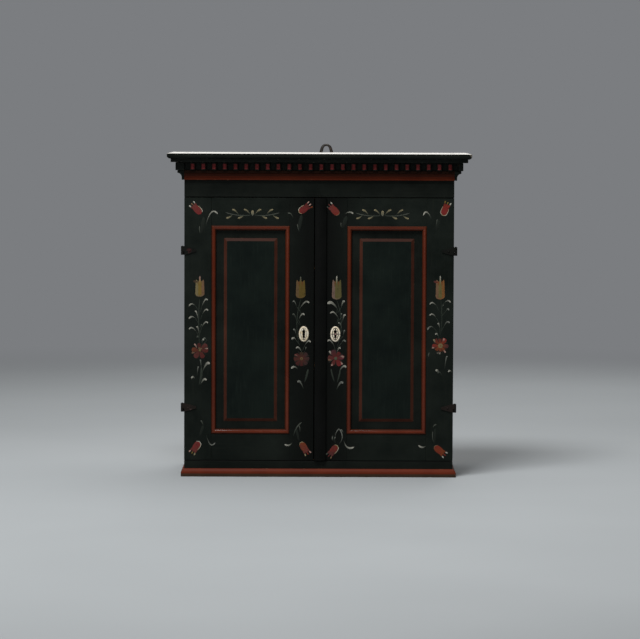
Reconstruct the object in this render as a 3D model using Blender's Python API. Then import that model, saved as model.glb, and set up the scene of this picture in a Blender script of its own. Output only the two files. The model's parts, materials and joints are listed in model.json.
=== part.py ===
"""Painted two-door hanging cupboard with a dentil cornice, built piece by piece as a joiner makes it.

Metres, +Z up. X runs to the right and Y towards the wall. The origin is under the middle of the
cupboard's outer box, on the surface that its base stands on.
"""
from math import acos, cos, pi, radians, sin, sqrt, tau

import bmesh
import bpy
from mathutils import Matrix, Vector

# Clearances
GAP = 0.0003                 # between pieces that touch
DOOR_SEAT = 0.0008           # closed doors to the carcase's front edges
DOOR_REVEAL = 0.0015         # doors to the frieze and to the bottom rail
DOOR_GAP = 0.0020            # between the two doors
PANEL_FLOAT = 0.0015         # room for a panel to swell in its groove
PIN_CLEARANCE = 0.0003       # hinge eye around its pin
BOLT_CLEARANCE = 0.0004      # bolts in their guides

# Carcase boards
BODY_WIDTH = 0.690
BODY_DEPTH = 0.300           # wall to the doors' front faces
SIDE_THICKNESS = 0.020
TOP_THICKNESS = 0.018
BOTTOM_THICKNESS = 0.018
SHELF_THICKNESS = 0.016
BACK_THICKNESS = 0.012
BACK_BOARD_COUNT = 3
HOUSING_DEPTH = 0.006        # grooves in the sides that hold the bottom and the shelves
LOWER_ROOM = 0.235           # clear height under the lower shelf
MIDDLE_ROOM = 0.235          # clear height between the shelves
SHELF_SETBACK = 0.004        # shelf edges behind the lock
BASE_RAIL_HEIGHT = 0.0405
FRIEZE_HEIGHT = 0.044        # frieze that shows between the doors and the cornice

# Cornice, from the frieze upwards. "Out" is measured from the body's face
CAVETTO_HEIGHT = 0.0245
CAVETTO_FOOT_OUT = 0.0066
CAVETTO_FOOT_HEIGHT = 0.0060
CAVETTO_HEAD_OUT = 0.0170
CAVETTO_HEAD_HEIGHT = 0.0068
DENTIL_HEIGHT = 0.0205
DENTIL_OUT = 0.0218
DENTIL_GROUND_OUT = 0.0130
DENTIL_WIDTH = 0.0120
DENTIL_PITCH = 0.02735
CROWN_HEIGHT = 0.0225
CROWN_OUT = 0.0430
CROWN_EDGE_HEIGHT = 0.0060
FASCIA_OUT = 0.0335
FASCIA_HEIGHT = 0.0090

# Base moulding
BASE_HEIGHT = 0.0205
BASE_OUT = 0.0082
BASE_TOP_OUT = 0.0017
BASE_FILLET_HEIGHT = 0.0105
BASE_CHAMFER = 0.0012
BASE_SWELL = 0.0010

# Doors
DOOR_HEIGHT = 0.674
DOOR_THICKNESS = 0.022
MEETING_X = -0.012           # middle of the gap between the doors
HINGE_STILE_WIDTH = 0.0695
LEFT_MEETING_STILE_WIDTH = 0.062
RIGHT_MEETING_STILE_WIDTH = 0.083
TOP_RAIL_HEIGHT = 0.0715
BOTTOM_RAIL_HEIGHT = 0.068
GROOVE_SETBACK = 0.007       # wood in front of the panel groove
GROOVE_DEPTH = 0.009
PANEL_THICKNESS = 0.007
PANEL_MARGIN = 0.032         # from the frame's edge to the raised field's bevel
BEVEL_WIDTH = 0.0075
FIELD_RISE = 0.0040
MOULDING_WIDTH = 0.0115
MOULDING_CREST = 0.0040      # from the frame's edge to the moulding's highest line
MOULDING_PROUD = 0.0020
MOULDING_TOE = 0.0020
COVER_STRIP_WIDTH = 0.030
COVER_STRIP_EDGE = 0.0050
COVER_STRIP_SWELL = 0.0030

# Hinges: an eye on a tapering leaf, turning on a pin that stands in a strap
HINGE_INSET = 0.1355         # hinge centre from the door's top and bottom
BARREL_RADIUS = 0.0042
BARREL_HEIGHT = 0.022
STRAP_HEIGHT = 0.0085
STRAP_LENGTH = 0.050
STRAP_THICKNESS = 0.0020
HINGE_PIN_RADIUS = 0.0021
HINGE_PIN_RISE = 0.0010      # pin end above the eye
LEAF_LENGTH = 0.031
LEAF_THICKNESS = 0.0020
LEAF_TIP = 0.005
LEAF_NAIL_INSET = 0.014      # from the door's hinge edge
SPIKE_LENGTH = 0.012         # strap's end, turned in and driven into the side

# Nails and pins: head radius, head height, shank radius, length
HINGE_NAIL = (0.0030, 0.0014, 0.0010, 0.012)
PLATE_PIN = (0.0017, 0.0008, 0.0007, 0.008)
NAIL_DOME = ((0, 1), (0.6, 0.8), (1, 0.2), (1, 0))  # head's outline, as shares of its radius and height
NAIL_TIP = 0.7               # shank's tip as a share of its radius

# Keyhole plates
PLATE_WIDTH = 0.0265
PLATE_HEIGHT = 0.0407
PLATE_RIM = 0.0014
PLATE_CROWN = 0.0012
PLATE_FLAT = 0.72            # share of the oval inside its sloping border
LEFT_PLATE_INSET = 0.0255    # plate centres from the doors' meeting edges
RIGHT_PLATE_INSET = 0.0534
KEYHOLE_RISE = 0.3255        # from the doors' bottom edges
KEYHOLE_WIDTH = 0.0052
KEYHOLE_HEIGHT = 0.0170
BLIND_KEYHOLE_DEPTH = 0.010

# Box lock on the right door, and its keeper on the left door
LOCK_LENGTH = 0.075
LOCK_HEIGHT = 0.048
LOCK_DEPTH = 0.013
LOCK_INSET = 0.004           # from the door's meeting edge
IRON_SHEET = 0.0015
LOCK_FLANGE = 0.009
DRILL_PIN_RADIUS = 0.0016
LOCK_BOLT_LENGTH = 0.055
LOCK_BOLT_HEIGHT = 0.014
LOCK_BOLT_THICKNESS = 0.007
LOCK_BOLT_STANDOFF = 0.003
LOCK_BOLT_RISE = 0.013       # bolt centre above the keyhole
LOCK_BOLT_NOSE = 0.001
KEEPER_LENGTH = 0.008
KEEPER_BAR = 0.0025
KEEPER_SEAT = 0.010          # staple's legs in the door
KEEPER_INSET = 0.003

# Upright bolt inside the left door
DOOR_BOLT_LENGTH = 0.075
DOOR_BOLT_WIDTH = 0.012
DOOR_BOLT_THICKNESS = 0.005
DOOR_BOLT_DROP = 0.003       # bolt's tip below the door's top edge at rest
DOOR_BOLT_INSET = 0.031      # from the door's meeting edge
DOOR_BOLT_KNOB_RADIUS = 0.0045
DOOR_BOLT_KNOB_LENGTH = 0.009
GUIDE_LENGTH = 0.010
GUIDE_INSET = 0.010          # guide centres from the bolt's ends
GUIDE_FLANGE = 0.008

# Hanging loop: a splayed staple driven into the top board
LOOP_X = 0.018
LOOP_BACK = 0.009            # from the wall
LOOP_RADIUS = 0.0115
LOOP_CENTRE_HEIGHT = 0.0085
LOOP_SPLAY = radians(15)
LOOP_FOOT_RADIUS = 0.0046
LOOP_CROWN_RADIUS = 0.0033
LOOP_SEAT = 0.012

ROUND_STEPS = 16             # facets round a pin or an eye
NAIL_STEPS = 8
OVAL_STEPS = 32
ARC_STEPS = 6
BAR_SIDES = 10               # facets round the loop's bar
LOOP_STEPS = 12              # bends along its bow
SHARP_ANGLE = radians(35)    # edges over this aren't shaded smooth
POLE_MERGE = 1e-6            # joins the points that a turned profile leaves on its axis

# Places worked out from the sizes above
HALF_WIDTH = BODY_WIDTH / 2
WALL = (BODY_DEPTH + CROWN_OUT) / 2
FACE = WALL - BODY_DEPTH     # the doors' front faces
DOOR_BACK = FACE + DOOR_THICKNESS
CARCASE_FRONT = DOOR_BACK + DOOR_SEAT
SIDE_INNER = HALF_WIDTH - SIDE_THICKNESS
BACK_FRONT = WALL - BACK_THICKNESS
SHELF_FRONT = DOOR_BACK + LOCK_DEPTH + SHELF_SETBACK
DOOR_BOTTOM = BASE_RAIL_HEIGHT + DOOR_REVEAL
DOOR_TOP = DOOR_BOTTOM + DOOR_HEIGHT
FRIEZE_BOTTOM = DOOR_TOP + DOOR_REVEAL
CAVETTO_BOTTOM = FRIEZE_BOTTOM + FRIEZE_HEIGHT
DENTIL_BOTTOM = CAVETTO_BOTTOM + CAVETTO_HEIGHT
CROWN_BOTTOM = DENTIL_BOTTOM + DENTIL_HEIGHT
BODY_TOP = CROWN_BOTTOM + CROWN_HEIGHT
TOP_UNDERSIDE = BODY_TOP - TOP_THICKNESS
LOWER_SHELF_UNDERSIDE = BASE_RAIL_HEIGHT + LOWER_ROOM
UPPER_SHELF_UNDERSIDE = LOWER_SHELF_UNDERSIDE + SHELF_THICKNESS + MIDDLE_ROOM
GROOVE_FRONT = FACE + GROOVE_SETBACK
GROOVE_WIDTH = PANEL_THICKNESS + 2 * GAP
HINGE_OUT = BARREL_RADIUS + GAP
HINGE_Y = FACE + BARREL_RADIUS - LEAF_THICKNESS - GAP
HINGE_HEIGHTS = {"lower": DOOR_BOTTOM + HINGE_INSET, "upper": DOOR_TOP - HINGE_INSET}
KEYHOLE_Z = DOOR_BOTTOM + KEYHOLE_RISE
LOCK_BOLT_Z = KEYHOLE_Z + LOCK_BOLT_RISE
DOOR_BOLT_TOP = DOOR_TOP - DOOR_BOLT_DROP
DOOR_BOLT_BOTTOM = DOOR_BOLT_TOP - DOOR_BOLT_LENGTH
LOCK_LEFT = MEETING_X + DOOR_GAP / 2 + LOCK_INSET
LOCK_SEAT = DOOR_BACK + GAP
KEEPER_RIGHT = MEETING_X - DOOR_GAP / 2 - KEEPER_INSET
KEEPER_OPENING = LOCK_BOLT_HEIGHT + 2 * BOLT_CLEARANCE
DOOR_BOLT_X = MEETING_X - DOOR_GAP / 2 - DOOR_BOLT_INSET
DOOR_BOLT_FRONT = LOCK_SEAT + IRON_SHEET + BOLT_CLEARANCE
GUIDE_OPENING = DOOR_BOLT_WIDTH + 2 * BOLT_CLEARANCE
GUIDE_CENTRES = (DOOR_BOLT_BOTTOM + GUIDE_INSET, DOOR_BOLT_TOP - GUIDE_INSET)

# Finish: colour as sRGB, roughness, metallic
FINISHES = {
    "green_paint": ("1d2420", 0.45, 0.0),
    "red_paint": ("7c3522", 0.45, 0.0),
    "bare_pine": ("c9ab7c", 0.70, 0.0),
    "wrought_iron": ("3a3531", 0.60, 0.9),
    "bone": ("d9cdb4", 0.40, 0.0),
}


# Objects

def linear(channel):
    return channel / 12.92 if channel <= 0.04045 else ((channel + 0.055) / 1.055) ** 2.4


def finish_material(name, finish):
    colour, roughness, metallic = FINISHES[finish]
    material = bpy.data.materials.new(name)
    material.use_nodes = True
    shader = material.node_tree.nodes["Principled BSDF"]
    rgb = [linear(int(colour[i:i + 2], 16) / 255) for i in (0, 2, 4)]
    shader.inputs["Base Color"].default_value = (*rgb, 1.0)
    shader.inputs["Roughness"].default_value = roughness
    shader.inputs["Metallic"].default_value = metallic
    return material


def add_axis(name, place, parent=None):
    """Put an empty on a joint's axis, for the pieces that move with it."""
    axis = bpy.data.objects.new(name, None)
    bpy.context.collection.objects.link(axis)
    axis.parent = parent
    parent_place = parent.matrix_world.translation if parent else Vector()
    axis.location = Vector(place) - parent_place
    bpy.context.view_layer.update()
    return axis


def add_piece(name, bm, finish, carrier=None):
    """Make a named object of a bmesh drawn in world coordinates, carried by an empty if one is given."""
    bmesh.ops.recalc_face_normals(bm, faces=bm.faces)
    if carrier:
        bmesh.ops.translate(bm, vec=-carrier.matrix_world.translation, verts=bm.verts)
    mesh = bpy.data.meshes.new(name)
    bm.to_mesh(mesh)
    bm.free()
    mesh.shade_smooth()
    mesh.set_sharp_from_angle(angle=SHARP_ANGLE)
    mesh.materials.append(finish_material(name, finish))
    piece = bpy.data.objects.new(name, mesh)
    bpy.context.collection.objects.link(piece)
    piece.parent = carrier
    return piece


def combined(bm, other, operation):
    """Cut one closed shape by another, or join the two, and return the result as a new bmesh."""
    shapes = []
    for source in (bm, other):
        bmesh.ops.recalc_face_normals(source, faces=source.faces)
        mesh = bpy.data.meshes.new("shape")
        source.to_mesh(mesh)
        source.free()
        shape = bpy.data.objects.new("shape", mesh)
        bpy.context.collection.objects.link(shape)
        shapes.append(shape)
    boolean = shapes[0].modifiers.new("combine", "BOOLEAN")
    boolean.operation = operation
    boolean.object = shapes[1]
    evaluated = shapes[0].evaluated_get(bpy.context.evaluated_depsgraph_get())
    result = bmesh.new()
    result.from_mesh(evaluated.to_mesh())
    evaluated.to_mesh_clear()
    for shape in shapes:
        bpy.data.meshes.remove(shape.data)
    return result


# Shapes

def arc(centre, radii, start, end, steps=ARC_STEPS):
    """Points of an elliptical arc between two angles."""
    turns = [start + (end - start) * i / steps for i in range(steps + 1)]
    return [(centre[0] + radii[0] * cos(t), centre[1] + radii[1] * sin(t)) for t in turns]


def swell(start, end, rise, steps=ARC_STEPS):
    """Points from start to end that bow out by rise on the right-hand side of the way between them."""
    a, b = Vector(start), Vector(end)
    along = (b - a).normalized()
    across = Vector((along.y, -along.x))
    shares = [i / steps for i in range(steps + 1)]
    return [tuple(a.lerp(b, s) + across * rise * 4 * s * (1 - s)) for s in shares]


def box(bm, low, high, margin=0.0):
    edge = Vector((margin, margin, margin))
    low, high = Vector(low) - edge, Vector(high) + edge
    place = Matrix.Translation((low + high) / 2) @ Matrix.Diagonal((*(high - low), 1.0))
    bmesh.ops.create_cube(bm, size=1.0, matrix=place)


def prism(bm, outline, depth):
    """Extrude a closed outline of points in space by a vector."""
    face = bm.faces.new([bm.verts.new(point) for point in outline])
    grown = bmesh.ops.extrude_face_region(bm, geom=[face])["geom"]
    ends = [item for item in grown if isinstance(item, bmesh.types.BMVert)]
    bmesh.ops.translate(bm, vec=Vector(depth), verts=ends)


def strip(bm, profile, start, end):
    """Run a profile between two ends, each a function that places a profile point in space."""
    near = [bm.verts.new(start(*point)) for point in profile]
    far = [bm.verts.new(end(*point)) for point in profile]
    for i in range(len(profile)):
        bm.faces.new((near[i - 1], near[i], far[i], far[i - 1]))
    bm.faces.new(near)
    bm.faces.new(far)


def cylinder(bm, start, direction, length, radius, steps=ROUND_STEPS):
    turn = Vector((0, 0, 1)).rotation_difference(Vector(direction)).to_matrix().to_4x4()
    middle = Vector(start) + Vector(direction) * length / 2
    bmesh.ops.create_cone(bm, cap_ends=True, segments=steps, radius1=radius, radius2=radius,
                          depth=length, matrix=Matrix.Translation(middle) @ turn)


def tube(bm, path, radii, normal, sides=BAR_SIDES):
    """Sweep a round bar of changing radius along a path that lies in a plane with this normal."""
    rings = []
    for i, point in enumerate(path):
        along = (path[min(i + 1, len(path) - 1)] - path[max(i - 1, 0)]).normalized()
        across = along.cross(normal)
        angles = [tau * k / sides for k in range(sides)]
        rings.append([bm.verts.new(point + radii[i] * (across * cos(t) + normal * sin(t))) for t in angles])
    for near, far in zip(rings, rings[1:]):
        for k in range(sides):
            bm.faces.new((near[k - 1], near[k], far[k], far[k - 1]))
    bm.faces.new(rings[0])
    bm.faces.new(rings[-1])


def driven_nail(seat, sizes):
    """A round-headed nail, driven in from the front, whose head sits on a surface."""
    head_radius, head_height, shank_radius, length = sizes
    seat = Vector(seat) - Vector((0, GAP, 0))
    profile = [(out * head_radius, -up * head_height) for out, up in NAIL_DOME]
    profile += [(shank_radius, 0), (NAIL_TIP * shank_radius, length), (0, length)]
    bm = bmesh.new()
    verts = [bm.verts.new(seat + Vector((radius, depth, 0))) for radius, depth in profile]
    edges = [bm.edges.new(pair) for pair in zip(verts, verts[1:])]
    bmesh.ops.spin(bm, geom=verts + edges, cent=seat, axis=(0, 1, 0), angle=tau, steps=NAIL_STEPS,
                   use_merge=True)
    bmesh.ops.remove_doubles(bm, verts=bm.verts, dist=POLE_MERGE)
    return bm


def drilled(bm, seats, sizes):
    """Drill the holes that nails at these seats go through."""
    _, _, shank_radius, length = sizes
    holes = bmesh.new()
    for seat in seats:
        start = Vector(seat) - Vector((0, length, 0))
        cylinder(holes, start, (0, 1, 0), 2 * length + GAP, shank_radius + GAP, NAIL_STEPS)
    return combined(bm, holes, "DIFFERENCE")


def bridge(bm, inner_width, inner_depth, foot, bar, place, run):
    """An iron bridge over a bolt: place maps (across, away from the wood) to space, run is its length."""
    inner, outer = inner_width / 2, inner_width / 2 + bar
    outline = [(-outer, foot), (-outer, inner_depth + bar), (outer, inner_depth + bar), (outer, foot),
               (inner, foot), (inner, inner_depth), (-inner, inner_depth), (-inner, foot)]
    prism(bm, [place(across, away) for across, away in outline], run)


# Carcase

def housed_board(underside, thickness, front):
    """Corners of a board whose ends sit in the housings of the two sides."""
    reach = SIDE_INNER + HOUSING_DEPTH - GAP
    return (-reach, front, underside), (reach, BACK_FRONT - GAP, underside + thickness)


HOUSED_BOARDS = {
    "carcase_bottom": housed_board(BASE_RAIL_HEIGHT - BOTTOM_THICKNESS, BOTTOM_THICKNESS, CARCASE_FRONT),
    "lower_shelf": housed_board(LOWER_SHELF_UNDERSIDE, SHELF_THICKNESS, SHELF_FRONT),
    "upper_shelf": housed_board(UPPER_SHELF_UNDERSIDE, SHELF_THICKNESS, SHELF_FRONT),
}


def build_sides():
    for name, side in (("left_side", -1), ("right_side", 1)):
        bm = bmesh.new()
        faces = sorted((side * SIDE_INNER, side * HALF_WIDTH))
        box(bm, (faces[0], CARCASE_FRONT, 0), (faces[1], WALL, TOP_UNDERSIDE - GAP))
        housings = bmesh.new()
        for low, high in HOUSED_BOARDS.values():
            box(housings, low, high, GAP)
        for level in HINGE_HEIGHTS:
            box(housings, *strap_spike(side, level), GAP)
        add_piece(name, combined(bm, housings, "DIFFERENCE"), "green_paint")


def build_boards():
    for name, (low, high) in HOUSED_BOARDS.items():
        bm = bmesh.new()
        box(bm, low, high)
        add_piece(name, bm, "bare_pine")

    pitch = 2 * SIDE_INNER / BACK_BOARD_COUNT
    for i in range(BACK_BOARD_COUNT):
        bm = bmesh.new()
        left = -SIDE_INNER + i * pitch + GAP
        box(bm, (left, BACK_FRONT, 0), (left + pitch - 2 * GAP, WALL, TOP_UNDERSIDE - GAP))
        add_piece(f"back_board_{i + 1}", bm, "bare_pine")

    for name, bottom, top in (("bottom_rail", 0, BASE_RAIL_HEIGHT),
                              ("frieze_board", FRIEZE_BOTTOM, TOP_UNDERSIDE - GAP)):
        bm = bmesh.new()
        box(bm, (-HALF_WIDTH, FACE, bottom), (HALF_WIDTH, CARCASE_FRONT - GAP, top))
        add_piece(name, bm, "green_paint")

    bm = bmesh.new()
    box(bm, (-HALF_WIDTH, FACE, TOP_UNDERSIDE), (HALF_WIDTH, WALL, BODY_TOP))
    holes = bmesh.new()
    for leg in loop_legs():
        tube(holes, leg, [LOOP_FOOT_RADIUS + GAP] * len(leg), Vector((0, 1, 0)))
    add_piece("carcase_top", combined(bm, holes, "DIFFERENCE"), "bare_pine")


def loop_foot(side, depth):
    """A point on a leg's line, this far below the board's top along the leg."""
    joint_height = LOOP_CENTRE_HEIGHT + LOOP_RADIUS * sin(LOOP_SPLAY)
    joint = Vector((side * LOOP_RADIUS * cos(LOOP_SPLAY), 0, joint_height))
    leg = Vector((side * sin(LOOP_SPLAY), 0, -cos(LOOP_SPLAY)))
    seat = Vector((LOOP_X, WALL - LOOP_BACK, BODY_TOP))
    return seat + joint + leg * (joint_height / cos(LOOP_SPLAY) + depth)


def loop_legs():
    """Both legs' seats in the top board, from above its face to a little below the legs' ends."""
    return [(loop_foot(side, -LOOP_FOOT_RADIUS), loop_foot(side, LOOP_SEAT + GAP)) for side in (-1, 1)]


def build_hanging_loop():
    centre = Vector((LOOP_X, WALL - LOOP_BACK, BODY_TOP + LOOP_CENTRE_HEIGHT))
    turns = [pi - LOOP_SPLAY - (pi - 2 * LOOP_SPLAY) * i / LOOP_STEPS for i in range(LOOP_STEPS + 1)]
    bow = [centre + LOOP_RADIUS * Vector((cos(t), 0, sin(t))) for t in turns]
    path = [loop_foot(-1, LOOP_SEAT), loop_foot(-1, 0), *bow, loop_foot(1, 0), loop_foot(1, LOOP_SEAT)]
    bow_radii = [LOOP_FOOT_RADIUS + (LOOP_CROWN_RADIUS - LOOP_FOOT_RADIUS) * sin(t) for t in turns]
    radii = [LOOP_FOOT_RADIUS, LOOP_FOOT_RADIUS, *bow_radii, LOOP_FOOT_RADIUS, LOOP_FOOT_RADIUS]
    bm = bmesh.new()
    tube(bm, path, radii, Vector((0, 1, 0)))
    add_piece("hanging_loop", bm, "wrought_iron")


# Mouldings that run round the front and both sides, mitred at the corners

def crown_profile():
    bottom, top = CROWN_BOTTOM + GAP, BODY_TOP
    fascia_top = CROWN_BOTTOM + FASCIA_HEIGHT
    edge_bottom = top - CROWN_EDGE_HEIGHT
    ovolo = arc((FASCIA_OUT, edge_bottom), (CROWN_OUT - FASCIA_OUT, edge_bottom - fascia_top), -pi / 2, 0)
    return [(GAP, bottom), (FASCIA_OUT, bottom), *ovolo, (CROWN_OUT, top), (GAP, top)]


def cavetto_profile():
    bottom, top = CAVETTO_BOTTOM, DENTIL_BOTTOM - GAP
    foot_top = bottom + CAVETTO_FOOT_HEIGHT
    head_bottom = bottom + CAVETTO_HEIGHT - CAVETTO_HEAD_HEIGHT
    hollow_radii = (CAVETTO_HEAD_OUT - CAVETTO_FOOT_OUT, head_bottom - foot_top)
    hollow = arc((CAVETTO_HEAD_OUT, foot_top), hollow_radii, pi, pi / 2)
    return [(GAP, bottom), (CAVETTO_FOOT_OUT, bottom), *hollow, (CAVETTO_HEAD_OUT, top), (GAP, top)]


def base_profile():
    slope = swell((BASE_OUT, BASE_FILLET_HEIGHT), (BASE_TOP_OUT, BASE_HEIGHT), BASE_SWELL)
    return [(GAP, 0), (BASE_OUT - BASE_CHAMFER, 0), (BASE_OUT, BASE_CHAMFER), *slope, (GAP, BASE_HEIGHT)]


def build_mouldings():
    for name, profile, finish in (("crown", crown_profile(), "green_paint"),
                                  ("cavetto", cavetto_profile(), "red_paint"),
                                  ("base_moulding", base_profile(), "red_paint")):
        bm = bmesh.new()
        strip(bm, profile, lambda out, z: (-HALF_WIDTH - out + GAP, FACE - out, z),
              lambda out, z: (HALF_WIDTH + out - GAP, FACE - out, z))
        add_piece(f"{name}_front", bm, finish)
        for word, side in (("left", -1), ("right", 1)):
            bm = bmesh.new()
            strip(bm, profile, lambda out, z: (side * (HALF_WIDTH + out), FACE - out + GAP, z),
                  lambda out, z: (side * (HALF_WIDTH + out), WALL, z))
            add_piece(f"{name}_{word}", bm, finish)


def teeth(count):
    """Outline of a run of teeth and the ground after each, as (distance along, out)."""
    points = []
    for i in range(count):
        start = i * DENTIL_PITCH
        points += [(start, DENTIL_OUT), (start + DENTIL_WIDTH, DENTIL_OUT)]
        points += [(start + DENTIL_WIDTH, DENTIL_GROUND_OUT), (start + DENTIL_PITCH, DENTIL_GROUND_OUT)]
    return points


def build_dentils():
    bottom = DENTIL_BOTTOM
    rise = (0, 0, DENTIL_HEIGHT)
    corner = HALF_WIDTH + DENTIL_OUT
    mitre = DENTIL_OUT - GAP

    # The teeth start at the right-hand corner, and a wider block fills the left-hand one
    length = 2 * corner
    count = int((length - DENTIL_WIDTH) / DENTIL_PITCH)
    outline = teeth(count) + [(count * DENTIL_PITCH, DENTIL_OUT), (length - GAP, DENTIL_OUT)]
    outline[0] = (GAP, DENTIL_OUT)
    outline += [(length - mitre - GAP, GAP), (mitre + GAP, GAP)]
    bm = bmesh.new()
    prism(bm, [(corner - along, FACE - out, bottom) for along, out in outline], rise)
    add_piece("dentil_strip_front", bm, "red_paint")

    # Each side's teeth start at the front corner and stop short of the wall
    length = BODY_DEPTH + DENTIL_OUT
    count = int(length / DENTIL_PITCH)
    outline = teeth(count)
    outline[0] = (GAP, DENTIL_OUT)
    outline[-1] = (length, DENTIL_GROUND_OUT)
    outline += [(length, GAP), (mitre + GAP, GAP)]
    for word, side in (("left", -1), ("right", 1)):
        bm = bmesh.new()
        front = FACE - DENTIL_OUT
        prism(bm, [(side * (HALF_WIDTH + out), front + along, bottom) for along, out in outline], rise)
        add_piece(f"dentil_strip_{word}", bm, "red_paint")


# Doors

def door_layout(side, meeting_stile_width):
    """Where a door's frame stands; side is -1 for the left door and 1 for the right door."""
    hinge_edge = side * HALF_WIDTH
    meeting_edge = MEETING_X + side * DOOR_GAP / 2
    sight = sorted((hinge_edge - side * HINGE_STILE_WIDTH, meeting_edge + side * meeting_stile_width))
    return {
        "side": side,
        "hinge_edge": hinge_edge,
        "meeting_edge": meeting_edge,
        "sight_left": sight[0],
        "sight_right": sight[1],
        "sight_bottom": DOOR_BOTTOM + BOTTOM_RAIL_HEIGHT,
        "sight_top": DOOR_TOP - TOP_RAIL_HEIGHT,
    }


def hinge_axis(side):
    return side * (HALF_WIDTH + HINGE_OUT), HINGE_Y


def stile(bm, edge, inner):
    """An upright with a groove along its inner edge."""
    floor = inner - GROOVE_DEPTH * (1 if inner > edge else -1)
    groove_back = GROOVE_FRONT + GROOVE_WIDTH
    outline = [(edge, FACE), (inner, FACE), (inner, GROOVE_FRONT), (floor, GROOVE_FRONT),
               (floor, groove_back), (inner, groove_back), (inner, DOOR_BACK), (edge, DOOR_BACK)]
    prism(bm, [(x, y, DOOR_BOTTOM) for x, y in outline], (0, 0, DOOR_HEIGHT))


def rail(door, bottom, top, inner):
    """A rail with a stub tenon at each end, grooved for the panel along its inner edge."""
    left, right = door["sight_left"] + GAP, door["sight_right"] - GAP
    tenon = GROOVE_DEPTH - GAP
    tenon_left, tenon_right = door["sight_left"] - tenon, door["sight_right"] + tenon
    front, back = GROOVE_FRONT + GAP, GROOVE_FRONT + GROOVE_WIDTH - GAP
    outline = [(left, FACE), (right, FACE), (right, front), (tenon_right, front), (tenon_right, back),
               (right, back), (right, DOOR_BACK), (left, DOOR_BACK), (left, back), (tenon_left, back),
               (tenon_left, front), (left, front)]
    bm = bmesh.new()
    prism(bm, [(x, y, bottom) for x, y in outline], (0, 0, top - bottom))
    groove = bmesh.new()
    past = GROOVE_DEPTH
    box(groove, (tenon_left - past, GROOVE_FRONT, inner - GROOVE_DEPTH),
        (tenon_right + past, GROOVE_FRONT + GROOVE_WIDTH, inner + GROOVE_DEPTH))
    return combined(bm, groove, "DIFFERENCE")


def panel(door):
    """A raised and fielded panel that floats in the frame's grooves."""
    reach = GROOVE_DEPTH - PANEL_FLOAT
    front = GROOVE_FRONT + GAP
    bm = bmesh.new()
    box(bm, (door["sight_left"] - reach, front, door["sight_bottom"] - reach),
        (door["sight_right"] + reach, front + PANEL_THICKNESS, door["sight_top"] + reach))
    face = min(bm.faces, key=lambda f: f.calc_center_median().y)
    bmesh.ops.inset_region(bm, faces=[face], thickness=reach + PANEL_MARGIN, use_even_offset=True)
    bmesh.ops.inset_region(bm, faces=[face], thickness=BEVEL_WIDTH, depth=FIELD_RISE,
                           use_even_offset=True)
    return bm


def panel_moulding(door):
    """A mitred and glued moulding in the corner between the frame and the panel."""
    crest = FACE - MOULDING_PROUD
    toe = GROOVE_FRONT - MOULDING_TOE
    profile = [(0, GROOVE_FRONT)]
    profile += arc((MOULDING_CREST, FACE), (MOULDING_CREST, MOULDING_PROUD), pi, 1.5 * pi)
    profile += arc((MOULDING_CREST, toe), (MOULDING_WIDTH - MOULDING_CREST, toe - crest), -pi / 2, 0)[1:]
    profile += [(MOULDING_WIDTH, GROOVE_FRONT)]

    def mitre(turn, inset, y):
        inset += GAP
        left, right = door["sight_left"] + inset, door["sight_right"] - inset
        bottom, top = door["sight_bottom"] + inset, door["sight_top"] - inset
        x, z = ((left, bottom), (right, bottom), (right, top), (left, top))[turn]
        return x, y, z

    bm = bmesh.new()
    rings = [[bm.verts.new(mitre(turn, *point)) for point in profile] for turn in range(4)]
    for turn in range(4):
        near, far = rings[turn - 1], rings[turn]
        for i in range(len(profile)):
            bm.faces.new((near[i - 1], near[i], far[i], far[i - 1]))
    return bm


def leaf_nail_seats(side):
    x = side * (HALF_WIDTH - LEAF_NAIL_INSET)
    return {level: (x, FACE - GAP - LEAF_THICKNESS, z) for level, z in HINGE_HEIGHTS.items()}


def strap_spike(side, level):
    """Corners of the end of a strap that is driven into the cupboard's side."""
    ends = sorted((side * (HALF_WIDTH + GAP), side * (HALF_WIDTH + GAP - SPIKE_LENGTH)))
    back = HINGE_Y + STRAP_LENGTH
    bottom = HINGE_HEIGHTS[level] - BARREL_HEIGHT / 2
    return (ends[0], back - STRAP_THICKNESS, bottom), (ends[1], back, bottom + STRAP_HEIGHT)


def plate_pin_seats(x):
    rise = PLATE_FLAT * PLATE_HEIGHT / 2 - PLATE_PIN[0] - GAP
    front = FACE - GAP - PLATE_RIM - PLATE_CROWN
    return {"lower": (x, front, KEYHOLE_Z - rise), "upper": (x, front, KEYHOLE_Z + rise)}


def keyhole(x, front, back):
    """The keyhole's upright slot, as a cutter between two depths."""
    radius = KEYHOLE_WIDTH / 2
    rise = KEYHOLE_HEIGHT / 2 - radius
    outline = arc((x, KEYHOLE_Z + rise), (radius, radius), 0, pi)
    outline += arc((x, KEYHOLE_Z - rise), (radius, radius), pi, tau)
    bm = bmesh.new()
    prism(bm, [(px, front, pz) for px, pz in outline], (0, back - front, 0))
    return bm


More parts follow.
